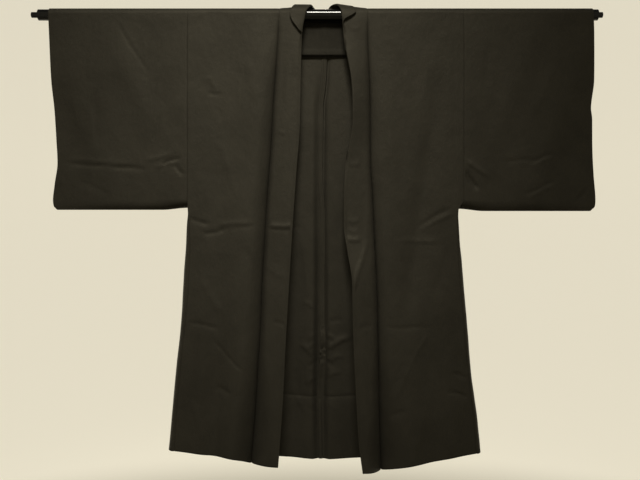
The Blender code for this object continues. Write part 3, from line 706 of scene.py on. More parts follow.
def back_points(side, top_out, level):
    """Middle of the back layer, on the column that is top_out wide at the shoulder."""
    share = top_out / FRONT[side].read("side", 0.0)
    hem = mix(BACK_HEM, SIDE_HEM[side], share ** 1.2)
    drop = hung_drop(level, hem)
    out = share * FRONT[side].read("side", drop)
    y = HANG.read("back", drop) + folds_height(BACK_FOLDS[side], out, drop) * away_from_edges(share)
    neckline = neckline_drop(top_out, side) * np.clip(1 - level / NECK_SQUEEZE, 0.0, 1.0)
    return stack(SIGN[side] * out, y, -drop - neckline)


def ride_points(x, share):
    """Middle of the cloth over the rod: share 0 at the front, 1 at the back."""
    angle = math.pi * share
    return stack(x, -RIDE_RADIUS * np.cos(angle), RIDE_RADIUS * np.sin(angle))


def neckline_drop(out, side):
    return NECK_DROP * np.clip(1 - (out / BACK_NECK_OUT[side]) ** 2, 0.0, 1.0)


def middle_wander(points, from_middle):
    """The centre-back seam doesn't hang straight: it sways a few millimetres."""
    sway = MIDDLE_SEAM.read("sway", -points[..., 2])
    points[..., 0] += sway * (1 - ease(np.maximum(from_middle, 0.0) / 0.07))


def middle_valley(side, out, drop):
    """Both back panels bend outwards beside the centre-back seam."""
    near, far = MIDDLE_VALLEY[side]
    valley = MIDDLE_SEAM.read("valley", drop) * (1 - ease((out - near) / (far - near)))
    if side == "left":
        pinched = ease((drop - 0.09) / 0.04) * ease((0.62 - drop) / 0.12)
        valley = valley + pinched * roll_depth(out, SEAM_PINCH)
    return valley


def collar_valley(side, from_seam, drop, across="body"):
    """The front bends in towards the collar's seam, wider and deeper further down. Across is
    the body or the band, for the slope on that side of the seam."""
    valley = COLLAR_VALLEY[side]
    reach = valley.read(across, drop)
    away = np.clip(from_seam / reach, 0.0, 1.0)
    return valley.read("depth", drop) * (1 - away) ** 2


def turn_up_groove(level):
    """The stitches along the turned-up hem draw the cloth in: softer above than below."""
    off = level - TURN_UP_TOP
    return np.exp(-(off / np.where(off < 0, 0.0036, 0.0026)) ** 2)


def seam_out(side, share):
    """Out of the collar seam over the rod; share as in ride_points."""
    return mix(FRONT[side].read("seam", 0.0), BACK_NECK_OUT[side], share)


# ---------------------------------------------------------------- cloth walls

def put(name, data):
    """Places data in the scene, as an object of that name."""
    thing = bpy.data.objects.new(name, data)
    bpy.context.scene.collection.objects.link(thing)
    return thing


def unit(vectors):
    lengths = np.linalg.norm(vectors, axis=-1, keepdims=True)
    return vectors / np.where(lengths > 0, lengths, 1.0)


def facings(points, cells):
    """Normal of each point, from the cells round it."""
    corners = points[cells]
    facing = np.cross(corners[:, 2] - corners[:, 0], corners[:, 3] - corners[:, 1])
    total = np.zeros_like(points)
    for corner in range(4):
        np.add.at(total, cells[:, corner], facing)
    return unit(total)


def open_edges(cells, count):
    """Directed edges that only one cell has."""
    starts = cells.reshape(-1)
    ends = np.roll(cells, -1, axis=1).reshape(-1)
    real = starts != ends
    starts, ends = starts[real], ends[real]
    lone = ~np.isin(starts * count + ends, ends * count + starts)
    return starts[lone], ends[lone]


class Shell:
    """Middle surface of a piece of cloth, made into a closed wall with rounded edges."""

    def __init__(self):
        self.parts = {key: [] for key in ("point", "threads", "lift", "thick", "extra")}
        self.count = 0
        self.cells = []

    def add(self, points, threads, lift=0.0, thick=CLOTH, extra=0.0):
        """Adds rows of points and gives back their numbers. Threads are the places across and
        along the cloth, extra is added on the inside."""
        shape = points.shape[:2]
        self.parts["point"].append(points.reshape(-1, 3))
        self.parts["threads"].append(np.stack(np.broadcast_arrays(*threads), -1).reshape(-1, 2))
        for name, value in (("lift", lift), ("thick", thick), ("extra", extra)):
            self.parts[name].append(np.broadcast_to(value, shape).reshape(-1))
        first = self.count
        self.count += shape[0] * shape[1]
        return np.arange(first, self.count).reshape(shape)

    def grid(self, rows, flip):
        low, high = rows[:-1], rows[1:]
        cells = np.stack((low[:, :-1], high[:, :-1], high[:, 1:], low[:, 1:]), -1).reshape(-1, 4)
        self.cells.append(cells[:, ::-1] if flip else cells)

    def build(self, name, material):
        part = {key: np.concatenate(values) for key, values in self.parts.items()}
        cells = np.concatenate(self.cells)
        points = part["point"]
        points = points + facings(points, cells) * part["lift"][:, None]
        normals = facings(points, cells)
        outer = points + normals * (part["thick"] / 2)[:, None]
        inner = points - normals * (part["thick"] / 2 + part["extra"])[:, None]
        starts, ends = open_edges(cells, self.count)
        sideways = np.zeros_like(points)
        for end in (starts, ends):
            outward = np.cross(points[ends] - points[starts], normals[end])
            np.add.at(sideways, end, unit(outward))
        rimmed = np.unique(np.concatenate((starts, ends)))
        half = (part["thick"] + part["extra"]) / 2
        rim = ((outer + inner) / 2 + unit(sideways) * (0.8 * half)[:, None])[rimmed]
        rim_of = np.zeros(self.count, int)
        rim_of[rimmed] = 2 * self.count + np.arange(len(rimmed))
        inward = self.count
        faces = np.concatenate((
            cells,
            cells[:, ::-1] + inward,
            np.stack((ends, starts, rim_of[starts], rim_of[ends]), -1),
            np.stack((rim_of[ends], rim_of[starts], starts + inward, ends + inward), -1),
        ))
        corners = [list(dict.fromkeys(face)) for face in faces.tolist()]
        mesh = bpy.data.meshes.new(name)
        mesh.from_pydata(np.concatenate((outer, inner, rim)).tolist(), [],
                         [face for face in corners if len(face) > 2])
        mesh.update()
        loops = np.zeros(len(mesh.loops), int)
        mesh.loops.foreach_get("vertex_index", loops)
        threads = np.concatenate((part["threads"], part["threads"], part["threads"][rimmed]))
        layer = mesh.uv_layers.new(name="threads")
        layer.data.foreach_set("uv", threads[loops].astype(np.float32).ravel())
        mesh.materials.append(material)
        mesh.shade_smooth()
        return put(name, mesh)


def one_grid(name, material, flip, points, threads, **cloth):
    """A piece of cloth that is a single grid of points."""
    shell = Shell()
    shell.grid(shell.add(points, threads, **cloth), flip)
    return shell.build(name, material)


# ---------------------------------------------------------------- cloth pieces

def body_panel(side, material):
    """One length of cloth from the front hem over the rod to the back hem."""
    sign = SIGN[side]
    side_top = float(FRONT[side].read("side", 0.0))
    seam_top = float(FRONT[side].read("seam", 0.0))
    width = side_top - seam_top
    neck_out = BACK_NECK_OUT[side]
    places = spread(width, SEAM_ROLL, COLLAR_TONGUE, SIDE_MARKS[side])
    across = np.clip(places / width, 0.0, 1.0)[None, :]
    from_side, from_collar = places[None, :], width - places[None, :]
    side_roll = roll_depth(from_side, SEAM_ROLL)
    collar_roll = roll_depth(from_collar, COLLAR_TONGUE)
    under_collar = sign * np.minimum(from_collar, 0.0)
    back_seam = SEAM_TONGUE if side == "left" else SEAM_ROLL
    shell = Shell()

    levels = LEVELS[::-1, None]
    points = front_points(side, across, levels)
    out, drop = out_and_drop(points)
    points[..., 0] += under_collar * allowance_reach(drop)
    points[..., 1] += collar_groove(drop) * collar_roll
    points[..., 1] += collar_valley(side, from_collar, drop) * below_rod(drop, 0.01, 0.04)
    fade = ease(np.minimum(from_side, from_collar) / 0.012)
    lift = (creases_height(FRONT_CREASES[side], out, drop) + unevenness(points, 3 + sign)) * fade
    lift = lift - sleeve_seam_roll(drop) * side_roll
    if side == "left":
        lift = lift + allowance_imprint(from_side, drop)
    extra = np.where(levels > TURN_UP_TOP, TURN_UP, 0.0)
    rows = [shell.add(points, (out, drop), lift, extra=extra)]

    out = mix(side_top, seam_out(side, OVER_ROD), across)
    points = ride_points(sign * out, OVER_ROD)
    points[..., 0] += under_collar * allowance_reach(0.0)
    rolled = sleeve_seam_roll(0.0) * side_roll + collar_groove(0.0) * collar_roll
    rows.append(shell.add(points, (out, -OVER_ROD_ARC), -rolled))

    # The collar's allowance ends at the neckline: its columns run together there.
    beyond = int(np.sum(places > width))
    last = len(places) - beyond
    neck_places = spread(neck_out, NO_ROLL, back_seam)[1:]
    panel_outs = mix(side_top, neck_out, across[0, :last + 1])
    shoulder_outs = np.concatenate((panel_outs, neck_out - neck_places))
    from_side, from_middle = side_top - shoulder_outs[None, :], shoulder_outs[None, :]
    levels = LEVELS[:, None]
    points = back_points(side, np.maximum(from_middle, 0.0), levels)
    out, drop = out_and_drop(points)
    points[..., 0] += sign * np.minimum(from_middle, 0.0) * allowance_reach(drop)
    middle_wander(points, from_middle)
    from_neck = np.where(from_middle <= neck_out + 1e-6, levels, 1.0)
    nearest = np.minimum(np.minimum(from_side, np.maximum(from_middle, 0.0)), from_neck)
    lift = creases_height(BACK_CREASES[side], out, drop, -SAG) + unevenness(points, 9 + sign)
    lift = lift * ease(nearest / 0.012) * below_rod(levels)
    lift = lift + middle_valley(side, from_middle, drop) + STITCH_GROOVE * turn_up_groove(levels)
    turned_up = TURN_UP * ease((levels - TURN_UP_TOP) / TURN_UP_EASE)
    lift = lift - sleeve_seam_roll(drop) * roll_depth(from_side, SEAM_ROLL)
    lift = lift - clear_of_rod(drop) * (roll_depth(from_middle, back_seam)
                                        + roll_depth(from_neck, SEAM_ROLL))
    lift = lift - np.where(from_middle < 0, turned_up, 0.0)
    back = shell.add(points, (out, drop), lift, extra=turned_up)
    run_together = np.repeat(back[:, last:last + 1], beyond - 1, axis=1)
    rows.append(np.concatenate((back[:, :last + 1], run_together), axis=1))
    shell.grid(np.concatenate(rows), sign < 0)
    shell.grid(back[:, last:], sign < 0)
    if side == "left":
        back_strip(shell)
    return shell.build(f"body_{side}_cloth", material)


def back_strip(shell):
    """The centre-back seam's allowance, on the inside, from under the patch to the hem."""
    drop = np.linspace(0.098, BACK_HEM - 0.002, 230)[:, None]
    share = np.linspace(0, 1, 7)[None, :]
    crumpled = np.exp(-((drop - 0.825) / 0.06) ** 2)
    waves = drop * 175 + 2.4 * np.sin(drop * 83)
    sway = 0.0021 * crumpled * np.sin(waves + 1.1 * share)
    x = mix(BACK_STRIP.read("right", drop), BACK_STRIP.read("left", drop), share) + sway
    y = HANG.read("back", drop) + MIDDLE_SEAM.read("valley", drop)
    y = y - BACK_STRIP.read("in", drop) * (1 + 0.25 * np.cos(2 * math.pi * share))
    y = y + 0.0012 * crumpled * np.sin(1.43 * waves + 2.6 * share)
    shell.grid(shell.add(stack(x, y, -drop), (x, drop), thick=THIN), False)


def allowance_imprint(from_seam, drop):
    """The sleeve seam's allowance shows through as a faint flat strip."""
    strip = ease((ALLOWANCE_SIDE + 0.0008 - from_seam) / 0.0016)
    return 0.0005 * strip * ease((drop - 0.10) / 0.08) * ease((0.46 - drop) / 0.01)


def sleeve_out(side, drop, gap, share):
    """Out of a place on a sleeve, from its seam to its cuff."""
    return mix(FRONT[side].read("side", drop) + gap, CUFF_EDGE[side].read("out", drop), share)


def sleeve(side, material):
    """A flat tube over the rod, sewn shut at its bottom and below the cuff opening."""
    sign = SIGN[side]
    cuff_top = float(CUFF_EDGE[side].read("out", 0.0))
    width = cuff_top - float(FRONT[side].read("side", 0.0))
    places = spread(width, SEAM_TONGUE, NO_ROLL, (width - CUFF_TURN, width - 0.0015))
    share = np.clip(places, 0.0, None)[None, :] / width
    from_seam, from_cuff = places[None, :], width - places[None, :]
    rolled = roll_depth(from_seam, SEAM_TONGUE)
    under_body = sign * np.minimum(from_seam, 0.0)
    near_seam = 1 - ease(share / 0.3)
    near_cuff = ease((share - 0.5) / 0.5)
    extra = np.where(from_cuff < CUFF_TURN, CUFF_LAYER, 0.0)

    straight = LEVELS[LEVELS <= SLEEVE_SEAM_END + 1e-6]
    rounding = np.linspace(0, math.pi / 2, 9)[1:-1]
    level = np.append(straight, np.full(len(rounding), SLEEVE_SEAM_END))[:, None]
    round_by = np.append(np.zeros(len(straight)), rounding)[:, None]
    bottom = mix(SLEEVE_BOTTOM_IN[side], SLEEVE_BOTTOM_OUT[side], ease(share / 0.2))
    drop = level + (bottom - SLEEVE_SEAM_END) * np.sin(round_by)
    out = sleeve_out(side, drop, np.where(round_by > 0, UNSEWN_GAP, SEAM_HALF_GAP), share)
    shell = Shell()

    def layer(which, hang, creases, seed):
        """Front layer -1 or back layer 1, from the shoulder to just above the bottom."""
        depth = (np.abs(HANG.read(hang, level)) * near_seam
                 + SLEEVE_GAP.read("cuff", level) * near_cuff
                 + SLEEVE_GAP.read("middle", level) * (1 - near_seam - near_cuff))
        depth = depth + folds_height(SLEEVE_FOLDS[side], out, drop) * away_from_edges(share)
        points = stack(sign * out, which * depth * np.cos(round_by) ** 1.3, -drop)
        points[..., 0] += under_body * allowance_reach(drop) * mix(0.03, 1.0, np.cos(round_by) ** 8)
        fade = ease(from_seam / 0.008) * below_rod(level)
        fade = fade * ease((bottom - drop) / 0.006) * mix(0.4, 1.0, ease(from_cuff / 0.02))
        lift = (creases_height(creases, out, drop) + unevenness(points, seed)) * fade
        lift = lift - clear_of_rod(drop) * rolled * np.cos(round_by) ** 2
        lift = lift - 0.0005 * np.exp(-((bottom - drop - 0.004) / 0.0016) ** 2)
        return shell.add(points, (out, drop), lift, extra=extra)

    front = layer(-1, "front", SLEEVE_CREASES[side], 21 + sign)
    back = layer(1, "back", SLEEVE_BACK_CREASES[side], 33 + sign)
    over_out = sleeve_out(side, 0.0, SEAM_HALF_GAP, share)
    points = ride_points(sign * over_out, OVER_ROD)
    points[..., 0] += under_body * allowance_reach(0.0)
    over = shell.add(points, (over_out, -OVER_ROD_ARC), -clear_of_rod(0.0) * rolled, extra=extra)
    foot_out = sleeve_out(side, bottom, UNSEWN_GAP, share)
    foot = shell.add(stack(sign * foot_out + under_body * 0.03, 0.0, -bottom), (foot_out, bottom),
                     extra=extra)
    shell.grid(np.concatenate((foot, front[::-1], over, back, foot)), sign > 0)

    closed = level[:, 0] >= CUFF_END
    edges = [layer_rows[closed, -1] for layer_rows in (front, back)]
    between = sum(np.concatenate(shell.parts["point"])[edge] for edge in edges) / 2
    between[:, 0] -= sign * CUFF_GROOVE
    groove = shell.add(between[None], (cuff_top, -between[None, :, 2]))[0]
    strip = [np.append(edge, foot[0, -1]) for edge in (edges[0], groove, edges[1])]
    shell.grid(np.stack(strip), sign > 0)
    return shell.build(f"sleeve_{side}_cloth", material)


def gore(side, material):
    """Wedge between the front and the back panel, rounding outwards between its two seams."""
    sign = SIGN[side]
    levels = LEVELS[LEVELS >= GORE_TOP - 1e-6][:, None]
    start = front_points(side, np.zeros((1, 1)), levels)
    end = back_points(side, FRONT[side].read("side", np.zeros((1, 1))), levels)
    side_out, drop = out_and_drop(start)
    places = spread(GORE_ARC, SEAM_TONGUE, SEAM_TONGUE, step=GORE_STEP)
    share = np.clip(places / GORE_ARC, 0.0, 1.0)[None, :]
    y = mix(start[..., 1], end[..., 1], (1 - np.cos(math.pi * share)) / 2)
    bulge = GORE_EDGE[side].read("out", drop) - side_out
    out = side_out + SEAM_HALF_GAP + bulge * np.sin(math.pi * share) ** 0.8
    from_seam = np.minimum(places, GORE_ARC - places)[None, :]
    points = stack(sign * (out + np.minimum(from_seam, 0.0)), y, start[..., 2])
    lift = unevenness(points, 45 + sign) * ease(from_seam / 0.012)
    lift = lift - roll_depth(from_seam, SEAM_TONGUE)
    extra = np.where(levels > TURN_UP_TOP, TURN_UP, 0.0)
    return one_grid(f"gore_{side}_cloth", material, sign < 0, points, (share * GORE_ARC, drop),
                    lift=lift, extra=extra)


def collar_seam(side):
    """The collar's seam from the front hem, over the rod, to the middle of the back neck: places
    along the collar, points, outward normals, and the ways from the body to the collar."""
    sign = SIGN[side]
    down = front_points(side, np.ones((1, 1)), LEVELS[::-1, None])[:, 0]
    down = np.concatenate(([[*down[0, :2], -COLLAR_HEM[side]]], down))
    over = OVER_ROD[:, 0]
    neck = np.linspace(1, 0, 26)
    neck_out = neck * BACK_NECK_OUT[side]
    points = np.concatenate((
        down,
        ride_points(sign * seam_out(side, over), over),
        stack(sign * neck_out, RIDE_RADIUS, -neckline_drop(neck_out, side)),
    ))
    along = np.concatenate((NECK_RUN + RIDE_RUN - down[:, 2],
                            NECK_RUN + RIDE_RUN * (1 - over), NECK_RUN * neck))
    turn = math.pi * np.concatenate((np.zeros(len(down)), over, np.ones(len(neck))))
    on_neck = along <= NECK_RUN
    onward = stack(-sign * np.where(on_neck, (along / NECK_RUN) ** 2, 1.0), 0, on_neck)
    return along[:, None], points, stack(0, -np.cos(turn), np.sin(turn)), unit(onward)


def collar_points(side):
    """Rows of points from the band's seam to its free edge, and their places along the band."""
    along, start, normal, onward = collar_seam(side)
    edge = COLLAR_EDGE[side]
    out, y, z, bow, turned, angle = (edge.read(name, along) for name in edge.names[1:])
    start = start + onward * SEAM_HALF_GAP
    across = np.concatenate((SIGN[side] * out, y, z), axis=1) - start
    inward = unit(across)
    outward = unit(normal - inward * np.sum(normal * inward, axis=1, keepdims=True))

    bends = (np.arange(COLLAR_BENDS) + 0.5) / COLLAR_BENDS
    turn = np.radians(angle) * np.append(bends, np.ones(COLLAR_TURNED))
    length = np.where(np.arange(turn.shape[1]) < COLLAR_BENDS, FOLD_ARC / COLLAR_BENDS,
                      turned / COLLAR_TURNED)
    past_fold = (np.cos(turn) * length).cumsum(axis=1)
    furthest = np.maximum(past_fold.max(axis=1, keepdims=True), 0.0)
    width = np.linalg.norm(across, axis=1, keepdims=True) - furthest
    rolled = COLLAR_ROLL[:, 0] + 0 * width
    even = mix(rolled[:, -1:], width, np.arange(1, COLLAR_STEPS + 1) / COLLAR_STEPS)
    flat = np.append(rolled, even, axis=1)
    share = flat / width
    reach = np.append(flat, width + past_fold, axis=1)
    rise = np.append(bow * 4 * share * (1 - share), (np.sin(turn) * length).cumsum(axis=1), axis=1)
    points = inward[:, None] * reach[..., None] + outward[:, None] * rise[..., None]
    return start[:, None] + points, along


def collar(material):
    """One band from the wearer's right hem, round the neck, to the left hem."""
    halves = {}
    for side in SIGN:
        points, along = collar_points(side)
        out, drop = out_and_drop(points)
        in_front = below_rod(drop, 0.01, 0.04) * (points[..., 1] < 0)
        flat = 1 + len(COLLAR_ROLL) + COLLAR_STEPS
        places = np.arange(points.shape[1])[None, :]
        fade = ease((places - 3) / 5) * ease((flat + 6 - places) / 6)
        lift = (creases_height(COLLAR_CREASES[side], out, drop) * in_front
                + 0.7 * unevenness(points, 57 + SIGN[side])) * fade
        depths = np.zeros(points.shape[1])
        depths[:len(COLLAR_ROLL)] = COLLAR_ROLL[:, 1]
        widths = np.linalg.norm(np.diff(points, axis=1), axis=-1).cumsum(axis=1)
        widths = np.concatenate((np.zeros((len(points), 1)), widths), axis=1)
        hanging = along >= NECK_RUN + RIDE_RUN
        points[..., 1] += np.where(hanging, collar_groove(drop), 0.0) * depths[None, :]
        points[..., 1] += collar_valley(side, widths, drop, "band") * in_front
        lift = lift - np.where(hanging, 0.0, 0.2) * depths[None, :]
        halves[side] = points, along * np.ones(widths.shape), widths, lift
    joined = [np.concatenate((right, left[-2::-1]))
              for right, left in zip(halves["right"], halves["left"])]
    points, along, widths, lift = joined
    return one_grid("collar_band", material, True, points, (widths, along), lift=lift, thick=BAND)


def shoulder_patch(material):
    """Self-cloth patch inside the two back panels, its lower edge standing a little free."""
    outs = np.linspace(0, PATCH_OUT, 50)
    columns = [("right", out) for out in outs[::-1]] + [("left", out) for out in outs[1:]]
    rows = np.linspace(0, 1, 24)
    points = []
    for side, out in columns:
        neck = float(neckline_drop(out, side))
        top = max(PATCH_TOP, neck - 0.003)
        foot = PATCH_FOOT + 0.002 * (1 - (out / 0.2) ** 2)
        drop = mix(top, foot, rows)
        y = HANG.read("back", drop) + folds_height(BACK_FOLDS[side], out, drop)
        free = 0.0027 + 0.0014 * math.exp(-(out / 0.012) ** 2) + 0.0050 * rows ** 2.2
        free = free + 0.0008 * math.sin(out * 60 + SIGN[side]) * rows ** 3
        points.append(stack(SIGN[side] * out, y - free, -drop))
    points = np.array(points).transpose(1, 0, 2)
    extra = np.where(rows > PATCH_HEM, PATCH_LAYER, 0.0)[:, None]
    return one_grid("shoulder_patch_cloth", material, True, points, out_and_drop(points),
                    extra=extra)


def tie_loop(side, material):
    """Narrow loop of cloth that hangs behind the collar: down, round and up again."""
    low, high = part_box(f"tie_loop_{side}")
    length = high.z - low.z
    straight = np.linspace(0, length - LOOP_BEND, 9)
    turn = np.linspace(0, math.pi, 9)[1:-1]
    foot = length - LOOP_BEND * (1 - np.sin(turn))
    down = np.concatenate((straight, foot, straight[::-1]))
    behind = LOOP_BEND * (1 - np.cos(np.concatenate((np.zeros(9), turn, np.full(9, math.pi)))))
    across = np.linspace(-LOOP_WIDTH / 2, LOOP_WIDTH / 2, 5)
    bow = 0.0004 * np.sin(math.pi * down / length)
    points = stack((low.x + high.x) / 2 + across[None, :],
                   (low.y + LOOP_BEHIND + behind + bow)[:, None], (high.z - down)[:, None])
    return one_grid(f"tie_loop_{side}_cloth", material, True, points,
                    (across[None, :], down[:, None]), thick=THIN)


# ---------------------------------------------------------------- the rod

def deselect_all():
    if bpy.context.object and bpy.context.object.mode != "OBJECT":
        bpy.ops.object.mode_set(mode="OBJECT")
    bpy.ops.object.select_all(action="DESELECT")


def select_faces(mesh_maker, wanted):
    """Selects the faces for which wanted(face) is true, and nothing else."""
    for face in mesh_maker.faces:
        face.select_set(False)
    for face in mesh_maker.faces:
        if wanted(face):
            face.select_set(True)
    mesh_maker.select_flush_mode()


def hanging_rod(paint):
    """Painted steel tube with a narrower plug in each end."""
    deselect_all()
    bpy.ops.mesh.primitive_cylinder_add(
        vertices=ROD_FACETS, radius=ROD_RADIUS, depth=ROD_END["left"] - ROD_END["right"],
        end_fill_type="NGON", location=((ROD_END["left"] + ROD_END["right"]) / 2, 0, 0),
        rotation=(0, math.pi / 2, 0))
    rod = bpy.context.object
    rod.name = rod.data.name = "hanging_rod_painted"
    bpy.ops.object.transform_apply(location=True, rotation=True, scale=True)
    bpy.ops.object.mode_set(mode="EDIT")
    bpy.ops.mesh.select_mode(type="FACE")
    for side, sign in SIGN.items():
        plug_shoulder(rod, sign)
        plug(rod, sign, STUB_LENGTH[side])
    bpy.ops.mesh.select_all(action="SELECT")
    bpy.ops.mesh.normals_make_consistent(inside=False)
    bpy.ops.object.mode_set(mode="OBJECT")
    rod.data.materials.clear()
    rod.data.materials.append(paint)
    bpy.ops.object.shade_smooth_by_angle(angle=SHARP_CORNER)
    return rod


def plug_shoulder(rod, sign):
    """Rounded rim at the tube's end, and the narrow face inside it."""
    end_face(rod, sign)
    round_edge(4)
    end_face(rod, sign)
    bpy.ops.mesh.inset(thickness=ROD_RADIUS - RIM - STUB_RADIUS, depth=0.0)


def plug(rod, sign, length):
    """The plug that stands out of the tube's end."""
    innermost_face(rod, sign)
    bpy.ops.mesh.extrude_region_move(TRANSFORM_OT_translate={"value": (sign * length, 0, 0)})
    end_face(rod, sign)
    round_edge(3)


def round_edge(bends):
    """Rounds the edge of the selected face."""
    bpy.ops.mesh.bevel(offset=RIM, segments=bends, profile=0.5, affect="EDGES",
                       clamp_overlap=True)


def end_face(rod, sign):
    """Selects the face that closes the rod at one end."""
    mesh_maker = bmesh.from_edit_mesh(rod.data)
    furthest = max(sign * face.calc_center_median().x for face in mesh_maker.faces)

    def wanted(face):
        return sign * face.normal.x > 0.9 and sign * face.calc_center_median().x > furthest - 1e-5

    select_faces(mesh_maker, wanted)
    bmesh.update_edit_mesh(rod.data)


def innermost_face(rod, sign):
    """Selects the round face in the middle of the rod's end."""
    mesh_maker = bmesh.from_edit_mesh(rod.data)
    ends = [face for face in mesh_maker.faces if sign * face.normal.x > 0.9]
    middle = min(ends, key=lambda face: Vector(face.calc_center_median().yz).length)
    select_faces(mesh_maker, lambda face: face is middle)
    bmesh.update_edit_mesh(rod.data)


# ---------------------------------------------------------------- materials

class Nodes:
    """Short way of adding nodes to one material and joining them."""

    def __init__(self, name):
        self.material = bpy.data.materials.new(name)
        self.material.use_nodes = True
        self.tree = self.material.node_tree

    def fill(self, node, inputs):
        """Joins another node's output to an input, or writes the constant on it."""
        for key, value in inputs.items():
            if isinstance(value, bpy.types.NodeSocket):
                self.tree.links.new(value, node.inputs[key])
            else:
                node.inputs[key].default_value = value

    def shade(self, **inputs):
        """Fills the shader, and gives back the material."""
        named = {key.replace("_", " "): value for key, value in inputs.items()}
        self.fill(self.tree.nodes["Principled BSDF"], named)
        return self.material

    def add(self, kind, output, inputs, **settings):
        """Adds a node and gives back one of its outputs."""
        node = self.tree.nodes.new("ShaderNode" + kind)
        for key, value in settings.items():
            setattr(node, key, value)
        self.fill(node, inputs)
        return node.outputs[output]

    def place(self):
        return self.add("TexCoord", "Object", {})

    def part(self, place, axis):
        return self.add("SeparateXYZ", axis, {0: place})

    def scaled(self, place, scale):
        return self.add("Mapping", "Vector", {"Vector": place, "Scale": scale})

    def math(self, operation, *values):
        return self.add("Math", 0, dict(enumerate(values)), operation=operation)

    def noise(self, place, scale, detail=2.0, roughness=0.5):
        inputs = {"Vector": place, "Scale": scale, "Detail": detail, "Roughness": roughness}
        return self.add("TexNoise", "Fac", inputs)

    def stretch(self, value, given, wanted=(0.0, 1.0), curve="LINEAR"):
        """Stretches one range of numbers to another, and stops at its ends."""
        inputs = {"Value": value, "From Min": given[0], "From Max": given[1],
                  "To Min": wanted[0], "To Max": wanted[1]}
        return self.add("MapRange", 0, inputs, interpolation_type=curve)

    def blend(self, share, low, high):
        """A colour between two others."""
        return self.add("Mix", 2, {0: share, 6: low, 7: high}, data_type="RGBA")

    def bump(self, height, distance, strength, **under):
        inputs = {"Height": height, "Distance": distance, "Strength": strength, **under}
        return self.add("Bump", "Normal", inputs)


# With darker colours and a shine under 1, this makes a copy of the cloth with painted shade.
def black_cloth(name, dark, light, shine=1.0):
    """Plain-woven black wool: crossed threads, slubs, faint patches and a soft sheen."""
    nodes = Nodes(name)
    threads = nodes.add("UVMap", "UV", {}, uv_map="threads")
    place = nodes.place()
    turns = 2 * math.pi / WEAVE_PITCH
    weave = nodes.math("MULTIPLY", *(
        nodes.math("SINE", nodes.math("MULTIPLY", nodes.part(threads, axis), turns))
        for axis in "XY"))
    slubs = nodes.math("MULTIPLY", nodes.math("ADD", *(
        nodes.noise(nodes.scaled(threads, scale), 1.0, 3.0, 0.6)
        for scale in ((1400, 110, 1), (90, 1500, 1)))), 0.5)
    patches = nodes.noise(place, 8.0, 6.0, 0.72)
    tone = nodes.math("ADD", nodes.math("MULTIPLY", slubs, 0.45),
                      nodes.math("MULTIPLY", patches, 0.55))
    crumple = nodes.noise(nodes.scaled(place, (1.0, 1.0, 0.7)), 75.0, 3.0, 0.55)
    soft = nodes.bump(crumple, 0.0019, 0.5)
    slubbed = nodes.bump(slubs, 0.00025, 0.5, Normal=soft)
    return nodes.shade(
        Base_Color=nodes.blend(nodes.stretch(tone, (0.36, 0.64)), dark, light),
        Roughness=nodes.stretch(tone, (0.0, 1.0), (0.56, 0.49)),
        Normal=nodes.bump(weave, 0.00010, 0.6, Normal=slubbed),
        Specular_IOR_Level=CLOTH_GLOSS * shine,
        Specular_Tint=GLOSS_TINT,
        Sheen_Weight=SHEEN * shine,
        Sheen_Roughness=0.45,
        Sheen_Tint=SHEEN_TINT,
    )


def black_paint():
    """Gloss black enamel with orange peel, and rubbed duller in places."""
    nodes = Nodes("rod_black_enamel")
    place = nodes.place()
    rubbed = nodes.noise(nodes.scaled(place, (4, 60, 60)), 1.0, 5.0, 0.6)
    return nodes.shade(
        Base_Color=nodes.blend(rubbed, (0.0025, 0.0025, 0.0025, 1), (0.006, 0.006, 0.0055, 1)),
        Roughness=nodes.stretch(rubbed, (0.0, 1.0), (0.07, 0.17)),
        Normal=nodes.bump(nodes.noise(place, 260.0), 0.0002, 0.25),
    )


# ---------------------------------------------------------------- camera, lights, floor

FLOOR = -1.78
FLOOR_LIT = 1.4           # the floor brightens from here outwards
SWEEP_START = 2.7         # where it begins to curve up
SWEEP_RADIUS = 1.8
WALL_TOP = 6.5            # height of the wall over the floor
SWEEP_FACETS = 96
SAME_PLACE = 0.0005


def camera():
    data = bpy.data.cameras.new("camera")
    data.sensor_width = 36.0
    data.lens = 43.80
    eye = put("camera", data)
    eye.location = (-0.0122, -1.9, -0.549)
    eye.rotation_euler = (math.pi / 2, 0, 0)
    bpy.context.scene.camera = eye


def soft_light(name, place, aim, size, power, color, cone):
    data = bpy.data.lights.new(name, "AREA")
    data.shape = "RECTANGLE"
    data.size, data.size_y = size
    data.energy = power
    data.color = color
    data.spread = math.radians(cone)
    light = put(name, data)
    light.location = place
    light.rotation_euler = (Vector(aim) - Vector(place)).to_track_quat("-Z", "Y").to_euler()
    light.visible_camera = False


def pale_paint():
    """Matt paint of the round wall, lit up behind the garment and dimmer elsewhere."""
    nodes = Nodes("pale_sweep")
    place = nodes.place()
    behind = nodes.stretch(nodes.part(place, "Y"), (-0.5, 2.2), (0.13, 0.80), "SMOOTHSTEP")
    level = nodes.add("VectorMath", 0, {0: place, 1: (1, 1, 0)}, operation="MULTIPLY")
    distance = nodes.add("VectorMath", "Value", {0: level}, operation="LENGTH")
    far = nodes.stretch(distance, (FLOOR_LIT, SWEEP_START), curve="SMOOTHSTEP")
    nodes.material.cycles.emission_sampling = "NONE"
    return nodes.shade(
        Base_Color=(0.34, 0.32, 0.27, 1),
        Roughness=1.0,
        Emission_Color=(0.79, 0.74, 0.60, 1),
        Emission_Strength=nodes.math("MULTIPLY", behind, far),
    )


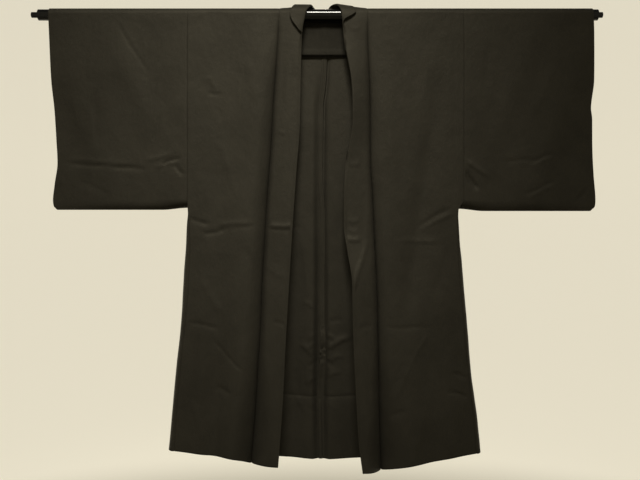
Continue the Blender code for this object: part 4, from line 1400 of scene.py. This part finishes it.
def round_sweep(paint):
    """Pale floor that curves up into a round wall, its faces towards the garment."""
    profile = [(0.0, 0, FLOOR), (FLOOR_LIT, 0, FLOOR), (SWEEP_START, 0, FLOOR)]
    for turn in np.linspace(0, math.pi / 2, 17)[1:]:
        out = SWEEP_START + SWEEP_RADIUS * math.sin(turn)
        profile.append((out, 0, FLOOR + SWEEP_RADIUS * (1 - math.cos(turn))))
    profile.append((SWEEP_START + SWEEP_RADIUS, 0, FLOOR + WALL_TOP))
    mesh_maker = bmesh.new()
    line = [mesh_maker.verts.new(point) for point in profile]
    edges = [mesh_maker.edges.new(pair) for pair in zip(line, line[1:])]
    bmesh.ops.spin(mesh_maker, geom=line + edges, axis=(0, 0, 1), cent=(0, 0, 0),
                   angle=2 * math.pi, steps=SWEEP_FACETS)
    bmesh.ops.remove_doubles(mesh_maker, verts=mesh_maker.verts, dist=SAME_PLACE)
    bmesh.ops.recalc_face_normals(mesh_maker, faces=mesh_maker.faces)
    lowest = min(mesh_maker.faces, key=lambda face: face.calc_center_median().z)
    if lowest.normal.z < 0:
        bmesh.ops.reverse_faces(mesh_maker, faces=mesh_maker.faces)
    mesh = bpy.data.meshes.new("floor_and_backdrop")
    mesh_maker.to_mesh(mesh)
    mesh_maker.free()
    mesh.materials.append(paint)
    mesh.shade_smooth()
    return put("floor_and_backdrop", mesh)


def studio():
    """Round wall, far off on every side, faint light from all round, and two soft lights."""
    round_sweep(pale_paint())

    world = bpy.data.worlds.new("studio_air")
    world.use_nodes = True
    air = world.node_tree.nodes["Background"]
    air.inputs["Color"].default_value = (0.80, 0.78, 0.68, 1)
    air.inputs["Strength"].default_value = 0.06
    bpy.context.scene.world = world
    bpy.context.scene.view_settings.view_transform = "Standard"
    warm = (1.0, 0.96, 0.86)
    soft_light("key", (-0.14, -2.12, 2.00), (-0.165, 0, -0.40), (1.0, 0.6), 4.0, warm, 30)
    soft_light("behind", (0.5, 2.6, 0.5), (0, 0, -0.40), (1.0, 0.8), 12, warm, 80)


# ---------------------------------------------------------------- the whole object

def dress(piece, node):
    """Puts a finished piece in place of its solid."""
    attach(piece, "root")
    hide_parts(node)


def main():
    camera()
    studio()
    outside = black_cloth("haori_black_wool", CLOTH_DARK, CLOTH_LIGHT)
    # Painted shade: the patch and the loops get a darker, less glossy copy of the same cloth.
    inside = black_cloth("haori_black_wool_painted_shade", PAINTED_SHADE_DARK, PAINTED_SHADE_LIGHT, PAINTED_SHADE_SHINE)
    rod = hanging_rod(black_paint())
    dress(rod, "hanging_rod")
    for side in SIGN:
        body = body_panel(side, outside)
        dress(body, f"body_{side}")
        arm = sleeve(side, outside)
        dress(arm, f"sleeve_{side}")
        wedge = gore(side, outside)
        dress(wedge, f"gore_{side}")
    band = collar(outside)
    dress(band, "collar")
    patch = shoulder_patch(inside)
    dress(patch, "shoulder_patch")
    for side in SIGN:
        loop = tie_loop(side, inside)
        dress(loop, f"tie_loop_{side}")


main()
